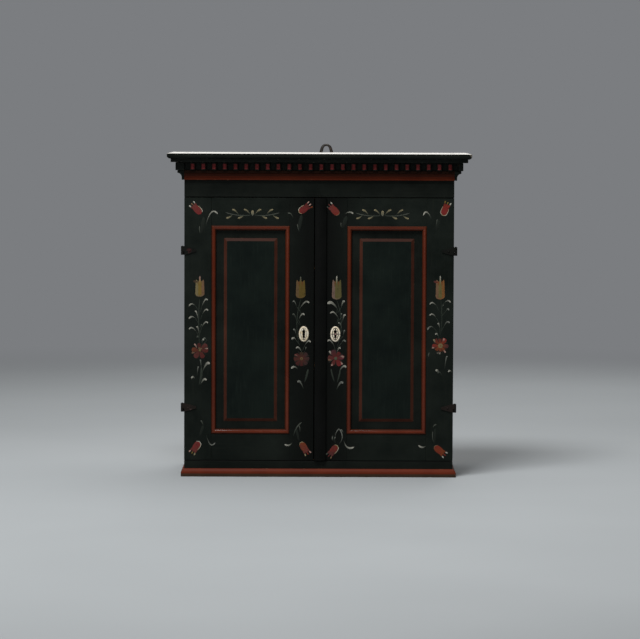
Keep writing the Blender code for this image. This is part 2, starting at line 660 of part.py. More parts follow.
def keyhole_plate(x):
    """A low oval plate with a sloping border, pierced by the keyhole and two pin holes."""
    bm = bmesh.new()
    oval = arc((x, KEYHOLE_Z), (PLATE_WIDTH / 2, PLATE_HEIGHT / 2), 0, tau, OVAL_STEPS)[:-1]
    prism(bm, [(px, FACE - GAP, pz) for px, pz in oval], (0, -PLATE_RIM, 0))
    front = min(bm.faces, key=lambda f: f.calc_center_median().y)
    grown = bmesh.ops.extrude_face_region(bm, geom=[front])["geom"]
    verts = [item for item in grown if isinstance(item, bmesh.types.BMVert)]
    bmesh.ops.delete(bm, geom=[front], context="FACES_ONLY")
    centre = Matrix.Translation((-x, 0, -KEYHOLE_Z))
    bmesh.ops.scale(bm, vec=(PLATE_FLAT, 1, PLATE_FLAT), space=centre, verts=verts)
    bmesh.ops.translate(bm, vec=(0, -PLATE_CROWN, 0), verts=verts)
    bm = combined(bm, keyhole(x, FACE - DOOR_THICKNESS, DOOR_BACK), "DIFFERENCE")
    return drilled(bm, plate_pin_seats(x).values(), PLATE_PIN)


def build_hinges(word, side, door_axis):
    """Two leaves with eyes on the door, and two straps with pins on the cupboard's side."""
    x, y = hinge_axis(side)
    for level, middle in HINGE_HEIGHTS.items():
        bottom, top = middle - BARREL_HEIGHT / 2, middle + BARREL_HEIGHT / 2
        strap_top = bottom + STRAP_HEIGHT
        eye_bottom = strap_top + GAP

        # Strap: a knuckle rolled on a flat bar that lies along the side, with its far end driven in
        bend = acos((BARREL_RADIUS - STRAP_THICKNESS) / BARREL_RADIUS)
        tangent = sqrt(BARREL_RADIUS ** 2 - (BARREL_RADIUS - STRAP_THICKNESS) ** 2)
        spike_tip = BARREL_RADIUS + SPIKE_LENGTH
        spike_front = STRAP_LENGTH - STRAP_THICKNESS
        strap_outer = BARREL_RADIUS - STRAP_THICKNESS
        outline = [(BARREL_RADIUS, spike_front), (spike_tip, spike_front), (spike_tip, STRAP_LENGTH),
                   (strap_outer, STRAP_LENGTH), (strap_outer, tangent)]
        outline += arc((0, 0), (BARREL_RADIUS, BARREL_RADIUS), bend, tau, ROUND_STEPS)[1:]
        bm = bmesh.new()
        prism(bm, [(x - side * across, y + back, bottom) for across, back in outline], (0, 0, STRAP_HEIGHT))
        pin = bmesh.new()
        pin_start = bottom + STRAP_HEIGHT / 2
        cylinder(pin, (x, y, pin_start), (0, 0, 1), top + HINGE_PIN_RISE - pin_start, HINGE_PIN_RADIUS)
        add_piece(f"{word}_{level}_hinge_strap", combined(bm, pin, "UNION"), "wrought_iron")

        # Leaf: full height over the door, cut away under the eye for the strap's knuckle
        root = HINGE_OUT + GAP
        tip = HINGE_OUT + LEAF_LENGTH
        outline = [(0, eye_bottom), (root, eye_bottom), (root, bottom), (tip, middle - LEAF_TIP / 2),
                   (tip, middle + LEAF_TIP / 2), (root, top), (0, top)]
        bm = bmesh.new()
        prism(bm, [(x - side * inset, FACE - GAP, z) for inset, z in outline], (0, -LEAF_THICKNESS, 0))
        eye = bmesh.new()
        cylinder(eye, (x, y, eye_bottom), (0, 0, 1), top - eye_bottom, BARREL_RADIUS, 2 * ROUND_STEPS)
        bm = combined(bm, eye, "UNION")
        bore = bmesh.new()
        cylinder(bore, (x, y, bottom), (0, 0, 1), 2 * BARREL_HEIGHT, HINGE_PIN_RADIUS + PIN_CLEARANCE)
        bm = combined(bm, bore, "DIFFERENCE")
        seat = leaf_nail_seats(side)[level]
        bm = drilled(bm, [seat], HINGE_NAIL)
        add_piece(f"{word}_{level}_hinge_leaf", bm, "wrought_iron", door_axis)
        add_piece(f"{word}_{level}_hinge_nail", driven_nail(seat, HINGE_NAIL), "wrought_iron", door_axis)


def build_door(word, side, meeting_stile_width, plate_inset, cutters):
    """A framed door with its moulding, hinges and keyhole plate, carried by the axis that is returned.

    cutters are the corners of boxes cut into the meeting stile.
    """
    door = door_layout(side, meeting_stile_width)
    axis = add_axis(f"{word}_door_axis", (*hinge_axis(side), DOOR_BOTTOM))
    meeting_edge = door["meeting_edge"]
    plate_x = meeting_edge + side * plate_inset
    sight_inner, sight_outer = (door["sight_left"], door["sight_right"])[::side]

    bm = bmesh.new()
    stile(bm, door["hinge_edge"], sight_outer)
    bm = drilled(bm, leaf_nail_seats(side).values(), HINGE_NAIL)
    add_piece(f"{word}_door_hinge_stile", bm, "green_paint", axis)

    bm = bmesh.new()
    stile(bm, meeting_edge, sight_inner)
    hole_back = DOOR_BACK + GAP if side > 0 else FACE + BLIND_KEYHOLE_DEPTH
    hole = keyhole(plate_x, FACE - GAP, hole_back)
    for low, high in cutters:
        box(hole, low, high, GAP)
    bm = combined(bm, hole, "DIFFERENCE")
    bm = drilled(bm, plate_pin_seats(plate_x).values(), PLATE_PIN)
    add_piece(f"{word}_door_meeting_stile", bm, "green_paint", axis)

    sight_bottom, sight_top = door["sight_bottom"], door["sight_top"]
    add_piece(f"{word}_door_top_rail", rail(door, sight_top, DOOR_TOP, sight_top), "green_paint", axis)
    add_piece(f"{word}_door_bottom_rail", rail(door, DOOR_BOTTOM, sight_bottom, sight_bottom),
              "green_paint", axis)
    add_piece(f"{word}_door_panel", panel(door), "green_paint", axis)
    add_piece(f"{word}_door_panel_moulding", panel_moulding(door), "red_paint", axis)
    build_hinges(word, side, axis)

    add_piece(f"{word}_keyhole_plate", keyhole_plate(plate_x), "bone", axis)
    for level, seat in plate_pin_seats(plate_x).items():
        add_piece(f"{word}_{level}_plate_pin", driven_nail(seat, PLATE_PIN), "wrought_iron", axis)
    return axis


def build_cover_strip(axis):
    left = MEETING_X + DOOR_GAP / 2
    right = left + COVER_STRIP_WIDTH
    edge = FACE - GAP - COVER_STRIP_EDGE
    bow = swell((left, edge), (right, edge), COVER_STRIP_SWELL)
    outline = [(right, FACE - GAP), (left, FACE - GAP), *bow]
    bm = bmesh.new()
    prism(bm, [(x, y, DOOR_BOTTOM) for x, y in outline], (0, 0, DOOR_HEIGHT))
    add_piece("cover_strip", bm, "green_paint", axis)


# Lock

def keeper_legs():
    """Corners of the keeper's two legs inside the left door."""
    legs = []
    for side in (-1, 1):
        ends = sorted((LOCK_BOLT_Z + side * KEEPER_OPENING / 2,
                       LOCK_BOLT_Z + side * (KEEPER_OPENING / 2 + KEEPER_BAR)))
        legs.append(((KEEPER_RIGHT - KEEPER_LENGTH, DOOR_BACK - KEEPER_SEAT, ends[0]),
                     (KEEPER_RIGHT, DOOR_BACK, ends[1])))
    return legs


def build_lock(axis):
    """An iron box lock: a case with a drill pin for the key, and a bolt that shoots to the left."""
    half = LOCK_HEIGHT / 2
    foot = half + LOCK_FLANGE
    seat, back = LOCK_SEAT, DOOR_BACK + LOCK_DEPTH
    outline = [(-foot, seat), (foot, seat), (foot, seat + IRON_SHEET), (half, seat + IRON_SHEET),
               (half, back), (-half, back), (-half, seat + IRON_SHEET), (-foot, seat + IRON_SHEET)]
    bm = bmesh.new()
    prism(bm, [(LOCK_LEFT, y, KEYHOLE_Z + z) for z, y in outline], (LOCK_LENGTH, 0, 0))

    hollow = bmesh.new()
    inner = half - IRON_SHEET
    box(hollow, (LOCK_LEFT + IRON_SHEET, FACE, KEYHOLE_Z - inner),
        (LOCK_LEFT + LOCK_LENGTH - IRON_SHEET, back - IRON_SHEET, KEYHOLE_Z + inner))
    bm = combined(bm, hollow, "DIFFERENCE")

    bolt_low = (LOCK_LEFT - LOCK_BOLT_NOSE, DOOR_BACK + LOCK_BOLT_STANDOFF,
                LOCK_BOLT_Z - LOCK_BOLT_HEIGHT / 2)
    bolt_high = (bolt_low[0] + LOCK_BOLT_LENGTH, bolt_low[1] + LOCK_BOLT_THICKNESS,
                 LOCK_BOLT_Z + LOCK_BOLT_HEIGHT / 2)
    slot = bmesh.new()
    box(slot, bolt_low, (LOCK_LEFT + 2 * IRON_SHEET, bolt_high[1], bolt_high[2]), BOLT_CLEARANCE)
    bm = combined(bm, slot, "DIFFERENCE")

    pin_x = MEETING_X + DOOR_GAP / 2 + RIGHT_PLATE_INSET
    pin = bmesh.new()
    cylinder(pin, (pin_x, FACE - PLATE_RIM, KEYHOLE_Z), (0, 1, 0), back - IRON_SHEET / 2 - FACE + PLATE_RIM,
             DRILL_PIN_RADIUS)
    add_piece("lock_case", combined(bm, pin, "UNION"), "wrought_iron", axis)

    slide = add_axis("lock_bolt_axis", (bolt_low[0], bolt_low[1], LOCK_BOLT_Z), axis)
    bm = bmesh.new()
    box(bm, bolt_low, bolt_high)
    add_piece("lock_bolt", bm, "wrought_iron", slide)


def build_keeper(axis):
    """A staple in the left door that takes the lock's bolt."""
    depth = LOCK_BOLT_STANDOFF + LOCK_BOLT_THICKNESS + BOLT_CLEARANCE
    bm = bmesh.new()
    bridge(bm, KEEPER_OPENING, depth, -KEEPER_SEAT, KEEPER_BAR,
           lambda across, away: (KEEPER_RIGHT, DOOR_BACK + away, LOCK_BOLT_Z + across),
           (-KEEPER_LENGTH, 0, 0))
    add_piece("lock_keeper", bm, "wrought_iron", axis)


def build_door_bolt(axis):
    """The bolt that holds the left door shut from inside, resting low and pushed up behind the frieze."""
    half = GUIDE_OPENING / 2 + IRON_SHEET + GUIDE_FLANGE
    bm = bmesh.new()
    box(bm, (DOOR_BOLT_X - half, LOCK_SEAT, GUIDE_CENTRES[0] - GUIDE_LENGTH / 2),
        (DOOR_BOLT_X + half, LOCK_SEAT + IRON_SHEET, GUIDE_CENTRES[1] + GUIDE_LENGTH / 2))
    depth = DOOR_BOLT_FRONT + DOOR_BOLT_THICKNESS + BOLT_CLEARANCE - LOCK_SEAT
    for z in GUIDE_CENTRES:
        loop = bmesh.new()
        bridge(loop, GUIDE_OPENING, depth, IRON_SHEET / 2, IRON_SHEET,
               lambda across, away: (DOOR_BOLT_X + across, LOCK_SEAT + away, z - GUIDE_LENGTH / 2),
               (0, 0, GUIDE_LENGTH))
        bm = combined(bm, loop, "UNION")
    add_piece("door_bolt_plate", bm, "wrought_iron", axis)

    back = DOOR_BOLT_FRONT + DOOR_BOLT_THICKNESS
    slide = add_axis("door_bolt_axis", (DOOR_BOLT_X, DOOR_BOLT_FRONT, DOOR_BOLT_BOTTOM), axis)
    bm = bmesh.new()
    box(bm, (DOOR_BOLT_X - DOOR_BOLT_WIDTH / 2, DOOR_BOLT_FRONT, DOOR_BOLT_BOTTOM),
        (DOOR_BOLT_X + DOOR_BOLT_WIDTH / 2, back, DOOR_BOLT_TOP))
    knob = bmesh.new()
    knob_seat = back - DOOR_BOLT_THICKNESS / 2
    cylinder(knob, (DOOR_BOLT_X, knob_seat, (DOOR_BOLT_BOTTOM + DOOR_BOLT_TOP) / 2), (0, 1, 0),
             DOOR_BOLT_KNOB_LENGTH + DOOR_BOLT_THICKNESS / 2, DOOR_BOLT_KNOB_RADIUS)
    add_piece("door_bolt", combined(bm, knob, "UNION"), "wrought_iron", slide)


def main():
    for item in list(bpy.data.objects):
        bpy.data.objects.remove(item)

    build_sides()
    build_boards()
    build_hanging_loop()
    build_mouldings()
    build_dentils()

    left_axis = build_door("left", -1, LEFT_MEETING_STILE_WIDTH, LEFT_PLATE_INSET, keeper_legs())
    build_keeper(left_axis)
    build_door_bolt(left_axis)

    right_axis = build_door("right", 1, RIGHT_MEETING_STILE_WIDTH, RIGHT_PLATE_INSET, [])
    build_cover_strip(right_axis)
    build_lock(right_axis)


main()
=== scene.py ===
import json
from functools import partial
from math import cos, radians, sin, sqrt

import bmesh
import bpy
from mathutils import Matrix, Vector

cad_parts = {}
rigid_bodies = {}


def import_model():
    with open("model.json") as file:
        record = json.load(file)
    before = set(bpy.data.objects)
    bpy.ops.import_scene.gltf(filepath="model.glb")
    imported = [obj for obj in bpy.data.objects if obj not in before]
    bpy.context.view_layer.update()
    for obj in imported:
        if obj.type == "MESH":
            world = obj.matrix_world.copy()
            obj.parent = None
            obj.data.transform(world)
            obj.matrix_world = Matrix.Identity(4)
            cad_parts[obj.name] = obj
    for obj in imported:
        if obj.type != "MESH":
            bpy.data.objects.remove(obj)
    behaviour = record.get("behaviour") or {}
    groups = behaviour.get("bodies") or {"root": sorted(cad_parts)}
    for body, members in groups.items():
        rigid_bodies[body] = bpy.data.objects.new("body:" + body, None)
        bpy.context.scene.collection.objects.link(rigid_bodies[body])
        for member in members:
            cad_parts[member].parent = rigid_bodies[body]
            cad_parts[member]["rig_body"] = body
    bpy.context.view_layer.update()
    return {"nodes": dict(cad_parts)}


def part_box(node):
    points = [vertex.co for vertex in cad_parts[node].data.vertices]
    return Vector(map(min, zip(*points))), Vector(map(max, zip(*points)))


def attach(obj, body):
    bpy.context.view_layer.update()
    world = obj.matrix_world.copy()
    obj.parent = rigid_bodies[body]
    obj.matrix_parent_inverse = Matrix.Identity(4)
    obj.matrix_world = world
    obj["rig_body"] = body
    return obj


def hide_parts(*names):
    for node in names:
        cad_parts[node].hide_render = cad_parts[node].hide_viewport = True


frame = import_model()
print("frame loaded:", len(frame["nodes"]), "nodes")

mm = 0.001
axisNumber = {"x": 0, "y": 1, "z": 2}
doorFace, doorBack = [corner.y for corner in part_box("left_door_top_rail")]
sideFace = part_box("right_side")[1].x


def linear(hexColour):
    channels = [int(hexColour[i:i + 2], 16) / 255 for i in (0, 2, 4)]
    return [c / 12.92 if c <= 0.04045 else ((c + 0.055) / 1.055) ** 2.4 for c in channels] + [1.0]


def setInputs(tree, node, inputs):
    # Plain values or the output sockets to link, by the inputs' names or in the node's own order
    for name, value in inputs.items() if isinstance(inputs, dict) else enumerate(inputs):
        if isinstance(value, bpy.types.NodeSocket):
            tree.links.new(value, node.inputs[name])
        else:
            node.inputs[name].default_value = value


def addNode(tree, kind, inputs=(), out=0, stops=(), **settings):
    # out is the output socket to hand back, stops are a colour ramp's (place, hex colour)
    node = tree.nodes.new("ShaderNode" + kind)
    for name, value in settings.items():
        setattr(node, name, value)
    setInputs(tree, node, inputs)
    for i, (place, colour) in enumerate(stops):
        ramp = node.color_ramp.elements
        stop = ramp[i] if i < 2 else ramp.new(place)
        stop.position = place
        stop.color = linear(colour)
    return node.outputs[out]


def newMaterial(name):
    # Hands back what adds a node to it and what sets its shader, and the piece's own coordinates
    material = bpy.data.materials.new(name)
    material.use_nodes = True
    tree = material.node_tree
    shade = partial(setInputs, tree, tree.nodes["Principled BSDF"])
    return partial(addNode, tree), shade, addNode(tree, "TexCoord", out="Object")


def grainScale(grain, times):
    # Draws a pattern out along the grain
    return [1 / times if axis == grain else 1 for axis in "xyz"]


def spots(size, detail, roughness=0.5):
    # What a noise needs for spots of this size in mm
    return {"Scale": 1 / (size * mm), "Detail": detail, "Roughness": roughness}


# Finishes. Pieces find them by their names

oilPaintLooks = {
    # tones: the body, its bloom in clouds, the ridges of the grain, and the wood where the paint is worn
    "green": {"tones": ("0b0f0c", "161a16", "1b1d18", "33261a"), "specular": 0.08, "grains": "xyz"},
    "crown": {"tones": ("0b0f0c", "161a16", "1b1d18", "56524a"), "specular": 0.08, "grains": "x"},
    # middle: another tone, and how far from the middle of the doors or of each tooth it is full and gone
    "door": {"tones": ("0d120f", "191e1a", "1d201b", "1f1a14"), "specular": 0.07, "grains": "xz",
             "middle": ("090b09", 30, 115)},
    "field": {"tones": ("0b1210", "131b17", "1e2621", "33261a"), "specular": 0.07, "grains": "z"},
    "cover": {"tones": ("080908", "0d0e0d", "11110f", "0d0b09"), "specular": 0.05, "grains": "z"},
    "red": {"tones": ("4c1b0c", "5a2412", "3a150a", "7a5a44"), "specular": 0.06, "grains": "x"},
    "base": {"tones": ("552012", "632a19", "41190d", "7a5a44"), "specular": 0.05, "grains": "xy"},
    "frame": {"tones": ("501d0d", "5e2613", "3c160a", "7a5a44"), "specular": 0.22, "grains": "z",
              "roughness": (0.18, 0.28)},
    "flank": {"tones": ("3a180d", "452012", "2b120a", "3a2a1f"), "specular": 0.06, "grains": "z"},
    # The next two reds are painted shade: darker copies of the red for the cavetto's upper hollow, in the
    # crown's shadow
    "deepRed": {"tones": ("321309", "3c190d", "260f08", "3a2a1f"), "specular": 0.06, "grains": "x"},
    "soot": {"tones": ("1b0d07", "22120a", "140a06", "2a1d14"), "specular": 0.04, "grains": "x"},
    # teeth: how far the first one's middle is from the right-hand end, and the next one's from it
    "tooth": {"tones": ("571d1b", "7c3335", "4b1a18", "1a120d"), "specular": 0.06, "grains": "z",
              "middle": ("130d0a", 5.4, 2.2), "teeth": (6.0, 27.35)},
    "bevel": {"tones": ("3a1e16", "48291f", "2a1711", "4a382a"), "specular": 0.04, "grains": "z"},
    "bevelTop": {"tones": ("301912", "3c221a", "23130e", "4a382a"), "specular": 0.04, "grains": "x"},
    "foot": {"tones": ("33251b", "403024", "251b14", "4a3a2b"), "specular": 0.10, "grains": "x"},
    "barrel": {"tones": ("090909", "12100e", "0d0c0b", "241c17"), "specular": 0.12, "grains": "z"},
    "upperHinge": {"tones": ("0e110f", "171614", "14140f", "2f1b1a"), "specular": 0.06, "grains": "x"},
    "lowerHinge": {"tones": ("191613", "241d1a", "16130f", "4e3e3b"), "specular": 0.08, "grains": "x"},
}
paintSizes = {
    # size in mm, detail and roughness of each pattern
    "ridges": (2.4, 3), "clouds": (85, 5, 0.6), "chips": (7, 6, 0.65), "specks": (1.6, 2),
    "ridgeStretch": 28, "ridgeHeight": 0.10, "speckHeight": 0.05, "roughness": (0.42, 0.58),
    # from and to which level of the clouds the tone and the gloss change, and of the ridges, with their share
    "toneLevels": (0.35, 0.72), "glossLevels": (0.3, 0.7), "ridgeLevels": (0.55, 0.80, 0, 0.55),
    # the level of their pattern above which chips show, how rubbing lowers it, and their soft edge
    "chipLevel": 0.95, "rubbing": -0.36, "chipEdge": 0.06, "spotWear": 2.2,
}


def oilPaint(name, look, grain, wornSpots):
    # Linseed oil paint brushed on planed pine two centuries ago: a thin satin film, deep in colour and a
    # little cloudy, with the grain standing through in low ridges and brown wood where hands rubbed the edges
    add, shade, place = newMaterial(name)
    sizes = paintSizes
    body, bloom, ridge, worn = look["tones"]
    along = add("Mapping", {"Vector": place, "Scale": grainScale(grain, sizes["ridgeStretch"])})
    ridges = add("TexNoise", {"Vector": along, **spots(*sizes["ridges"])})
    clouds = add("TexNoise", {"Vector": place, **spots(*sizes["clouds"])})
    specks = add("TexNoise", {"Vector": place, **spots(*sizes["specks"])})
    colour = add("ValToRGB", [clouds], stops=zip(sizes["toneLevels"], (body, bloom)))
    raised = add("MapRange", [ridges, *sizes["ridgeLevels"]])
    colour = add("Mix", {0: raised, 6: colour, 7: linear(ridge)}, 2, data_type="RGBA")
    if "middle" in look:
        tone, full, gone = look["middle"]
        offset = add("SeparateXYZ", [place])
        if "teeth" in look:
            first, pitch = look["teeth"]
            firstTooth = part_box("dentil_strip_front")[1].x - first * mm
            offset = add("Math", [offset, firstTooth], operation="SUBTRACT")
            offset = add("Math", [offset, pitch / 2 * mm], operation="PINGPONG")
        else:
            offset = add("Math", [offset], operation="ABSOLUTE")
        near = add("MapRange", [offset, gone * mm, full * mm])
        colour = add("Mix", {0: near, 6: colour, 7: linear(tone)}, 2, data_type="RGBA")

    # Chips break up the rubbed arrises and the spots that are worn most
    chips = add("TexNoise", {"Vector": place, **spots(*sizes["chips"])})
    wear = add("Attribute", out="Fac", attribute_name="rubbed")
    for centre, radius in wornSpots:
        spot = add("Mapping", {"Vector": place, "Location": [-c / radius for c in centre],
                               "Scale": [1 / radius] * 3})
        ball = add("TexGradient", [spot], "Fac", gradient_type="SPHERICAL")
        lifted = add("Math", [ball, sizes["spotWear"]], operation="MULTIPLY")
        wear = add("Math", [wear, lifted], operation="MAXIMUM")
    level = add("Math", [wear, sizes["rubbing"], sizes["chipLevel"]], operation="MULTIPLY_ADD")
    above = add("Math", [chips, level], operation="SUBTRACT")
    bare = add("MapRange", [above, 0, sizes["chipEdge"]])
    colour = add("Mix", {0: bare, 6: colour, 7: linear(worn)}, 2, data_type="RGBA")
    gloss = look.get("roughness", sizes["roughness"])
    rough = add("MapRange", [clouds, *sizes["glossLevels"], *gloss])
    bumps = add("Bump", {"Height": ridges, "Distance": sizes["ridgeHeight"] * mm})
    bumps = add("Bump", {"Height": specks, "Distance": sizes["speckHeight"] * mm, "Normal": bumps})
    shade({"Base Color": colour, "Roughness": rough, "Normal": bumps, "Specular IOR Level": look["specular"]})


pineLooks = {
    "inside": {"early": "a47c4e", "late": "86592f", "grime": "654a2e", "fibre": "b18a5b"},
    "top": {"early": "cac8c3", "late": "bbb8b1", "grime": "a8a59d", "fibre": "d3d1cd"},
}
pineSizes = {
    "figure": (80, 2, 0.4), "fibres": (0.9, 2), "grime": (120, 6, 0.62), "ringSpacing": 6,
    "grainStretch": 24, "fibreStretch": 40, "ringHeight": 0.12, "roughness": (0.62, 0.82), "specular": 0.3,
    # from and to which level of their patterns fibres and grime show, with their share
    "fibreLevels": (0.5, 0.8, 0, 0.5), "grimeLevels": (0.45, 0.75, 0, 0.6),
    # where in a ring early wood ends and late wood is fullest, and how often the figure crosses the rings
    "ringStops": (0, 0.55, 0.92, 1), "ringPasses": 3, "ringStrength": 0.6,
}


def barePine(name, look, grain):
    # Pine left bare: pale early wood between orange-brown late-wood lines that run the board's length,
    # darkened to honey by age, with grey-brown grime in clouds and a dry, dull surface
    add, shade, place = newMaterial(name)
    sizes = pineSizes
    # Each board is cut from another part of the log
    board = add("Attribute", out="Vector", attribute_name="board")
    place = add("VectorMath", [place, board], operation="ADD")
    along, drawn = [add("Mapping", {"Vector": place, "Scale": grainScale(grain, sizes[stretch])})
                    for stretch in ("grainStretch", "fibreStretch")]
    figure = add("TexNoise", {"Vector": along, **spots(*sizes["figure"])})
    ringCount = sizes["ringPasses"] * sizes["figure"][0] / sizes["ringSpacing"]
    rings = add("Math", [figure, ringCount], operation="MULTIPLY")
    rings = add("Math", [rings], operation="FRACT")
    early, late = look["early"], look["late"]
    wood = add("ValToRGB", [rings], stops=zip(sizes["ringStops"], (early, early, late, early)))
    fibres = add("TexNoise", {"Vector": drawn, **spots(*sizes["fibres"])})
    pale = add("MapRange", [fibres, *sizes["fibreLevels"]])
    wood = add("Mix", {0: pale, 6: wood, 7: linear(look["fibre"])}, 2, data_type="RGBA")
    clouds = add("TexNoise", {"Vector": place, **spots(*sizes["grime"])})
    dirty = add("MapRange", [clouds, *sizes["grimeLevels"]])
    wood = add("Mix", {0: dirty, 6: wood, 7: linear(look["grime"])}, 2, data_type="RGBA")
    rough = add("MapRange", [fibres, 0, 1, *sizes["roughness"]])
    bumps = add("Bump", {"Height": rings, "Strength": sizes["ringStrength"],
                         "Distance": sizes["ringHeight"] * mm})
    shade({"Base Color": wood, "Roughness": rough, "Normal": bumps, "Specular IOR Level": sizes["specular"]})


ironLooks = {"forged": {"steel": "3b3835", "scale": "242220", "rust": "463027", "rustFrom": 0.57},
             "pin": {"steel": "b4908a", "scale": "a07c76", "rust": "a58078", "rustFrom": 0.30}}
ironSizes = {"hammer": (6, 1), "rust": (14, 6, 0.65), "pits": (1.2, 3), "hammerHeight": 0.25,
             "pitHeight": 0.08, "flatLevels": (0.35, 0.65), "rustEdge": 0.12, "rustShare": 0.85,
             "metallic": (0.85, 0.15), "roughness": (0.48, 0.80)}  # where it is clean, and where it is rusty


def wroughtIron(name, look):
    # Hand-forged iron, black from the fire: low dull gloss over hammer flats, with dry brown rust in patches
    add, shade, place = newMaterial(name)
    sizes = ironSizes
    hammer = add("TexNoise", {"Vector": place, **spots(*sizes["hammer"])})
    pits = add("TexNoise", {"Vector": place, **spots(*sizes["pits"])})
    patches = add("TexNoise", {"Vector": place, **spots(*sizes["rust"])})
    colour = add("ValToRGB", [hammer], stops=zip(sizes["flatLevels"], (look["scale"], look["steel"])))
    rustFull = look["rustFrom"] + sizes["rustEdge"]
    rusty = add("MapRange", [patches, look["rustFrom"], rustFull, 0, sizes["rustShare"]])
    colour = add("Mix", {0: rusty, 6: colour, 7: linear(look["rust"])}, 2, data_type="RGBA")
    metal = add("MapRange", [rusty, 0, 1, *sizes["metallic"]])
    rough = add("MapRange", [rusty, 0, 1, *sizes["roughness"]])
    bumps = add("Bump", {"Height": hammer, "Distance": sizes["hammerHeight"] * mm})
    bumps = add("Bump", {"Height": pits, "Distance": sizes["pitHeight"] * mm, "Normal": bumps})
    shade({"Base Color": colour, "Metallic": metal, "Roughness": rough, "Normal": bumps})


# grime is laid on the plates as dirt in the cut lines and the crack, and as painted shade at the keyhole's
# lip and the plate's rim
boneLook = {"pale": "e9dfca", "yellow": "cdb78d", "grime": "20160e", "clouds": (9, 4), "pores": (0.7, 2),
            "poreStretch": 6, "poreDepth": 0.04, "poreStrength": 0.5, "poreLevels": (0.60, 0.72, 0, 0.45),
            "toneLevels": (0.38, 0.75), "roughness": (0.36, 0.62)}


def turnedBone(name):
    # Sawn and polished bone: warm ivory, yellower in clouds, with fine dark pores along its length and brown
    # dirt in the cut lines.
    # The same brown is laid at the keyhole's lip and the outer rim as painted shade
    add, shade, place = newMaterial(name)
    look = boneLook
    clouds = add("TexNoise", {"Vector": place, **spots(*look["clouds"])})
    along = add("Mapping", {"Vector": place, "Scale": grainScale("z", look["poreStretch"])})
    pores = add("TexNoise", {"Vector": along, **spots(*look["pores"])})
    ivory = add("ValToRGB", [clouds], stops=zip(look["toneLevels"], (look["pale"], look["yellow"])))
    dark = add("MapRange", [pores, *look["poreLevels"]])
    dirt = add("Attribute", out="Fac", attribute_name="grimeAndShade")
    dark = add("Math", [dark, dirt], operation="MAXIMUM")
    colour = add("Mix", {0: dark, 6: ivory, 7: linear(look["grime"])}, 2, data_type="RGBA")
    rough = add("MapRange", [dark, 0, 1, *look["roughness"]])
    bumps = add("Bump", {"Height": pores, "Strength": look["poreStrength"],
                         "Distance": look["poreDepth"] * mm}, invert=True)
    shade({"Base Color": colour, "Roughness": rough, "Normal": bumps})


brushLook = {"flake": "161815", "flakes": (6, 5, 0.6), "flakeLevels": (0.55, 0.75, 0, 0.6),
             "bristles": (0.8, 2), "bristleHeight": 0.06, "bristleStrength": 0.7, "roughness": 0.5,
             "specular": 0.15}


def brushedColours(name):
    # Thick oil colour laid on with a round brush: each stroke keeps its own tint, full at the head and
    # thinning to the dark ground at the tail, and here and there it has flaked
    add, shade, place = newMaterial(name)
    look = brushLook
    tint = add("Attribute", attribute_name="tint")
    flakes = add("TexNoise", {"Vector": place, **spots(*look["flakes"])})
    bristles = add("TexNoise", {"Vector": place, **spots(*look["bristles"])})
    flaked = add("MapRange", [flakes, *look["flakeLevels"]])
    colour = add("Mix", {0: flaked, 6: tint, 7: linear(look["flake"])}, 2, data_type="RGBA")
    bumps = add("Bump", {"Height": bristles, "Strength": look["bristleStrength"],
                         "Distance": look["bristleHeight"] * mm})
    shade({"Base Color": colour, "Normal": bumps, "Roughness": look["roughness"],
           "Specular IOR Level": look["specular"]})


# Where hands and knocks wore the paint most: the cornice's upper corners and the leaves of the left hinges.
# The pale patch on the lower left leaf is partly a painted highlight
wornRadii = {"rightCorner": 14, "leftCorner": 6, "upperHinge": 17, "lowerHinge": 14.5}
crownLow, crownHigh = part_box("crown_front")
wornSpots = {"crown": [((crownHigh.x, crownLow.y, crownHigh.z), wornRadii["rightCorner"] * mm),
                       ((crownLow.x, crownLow.y, crownHigh.z), wornRadii["leftCorner"] * mm)]}
for level in ("upper", "lower"):
    centre = sum(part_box(f"left_{level}_hinge_nail"), Vector()) / 2
    wornSpots[level + "Hinge"] = [(centre, wornRadii[level + "Hinge"] * mm)]
for word, look in oilPaintLooks.items():
    for grain in look["grains"]:
        ending = "_" + grain if len(look["grains"]) > 1 else ""
        oilPaint(word + "Paint" + ending, look, grain, wornSpots.get(word, ()))
for grain in "xyz":
    barePine("insidePine_" + grain, pineLooks["inside"], grain)
barePine("topPine", pineLooks["top"], "x")
wroughtIron("wroughtIron", ironLooks["forged"])
wroughtIron("rubbedPin", ironLooks["pin"])
turnedBone("turnedBone")
brushedColours("flowerPaint")
print("finishes made:", len(bpy.data.materials))


# Pieces

def finishPiece(name, bm, body, materials, nodes=(), pick=None, sharpAngle=35, evenNormals=True):
    # Each face takes the material whose place in the list pick(face) gives, or the first one
    bmesh.ops.recalc_face_normals(bm, faces=bm.faces)
    for face in bm.faces:
        face.material_index = pick(face) if pick else 0
    mesh = bpy.data.meshes.new(name)
    bm.to_mesh(mesh)
    bm.free()
    for material in materials:
        mesh.materials.append(bpy.data.materials[material])
    mesh.shade_smooth()
    mesh.set_sharp_from_angle(angle=radians(sharpAngle))
    piece = bpy.data.objects.new(name, mesh)
    bpy.context.scene.collection.objects.link(piece)
    if evenNormals:
        piece.modifiers.new("evenNormals", "WEIGHTED_NORMAL").keep_sharp = True
    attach(piece, body)
    if nodes:
        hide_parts(*nodes)
    return piece


hairline, flatAngle = 0.01 * mm, radians(1)  # points this near are one, faces this near to flat are too
arrisLook = {"sharpFrom": 25, "segments": 2, "shortest": 10}
boardShift = Vector((0.37, 0.61, 0.53))


def nodeCopy(node):
    bm = bmesh.new()
    bm.from_mesh(frame["nodes"][node].data)
    bmesh.ops.remove_doubles(bm, verts=bm.verts, dist=hairline)
    bmesh.ops.dissolve_limit(bm, angle_limit=flatAngle, verts=bm.verts, edges=bm.edges)
    return bm


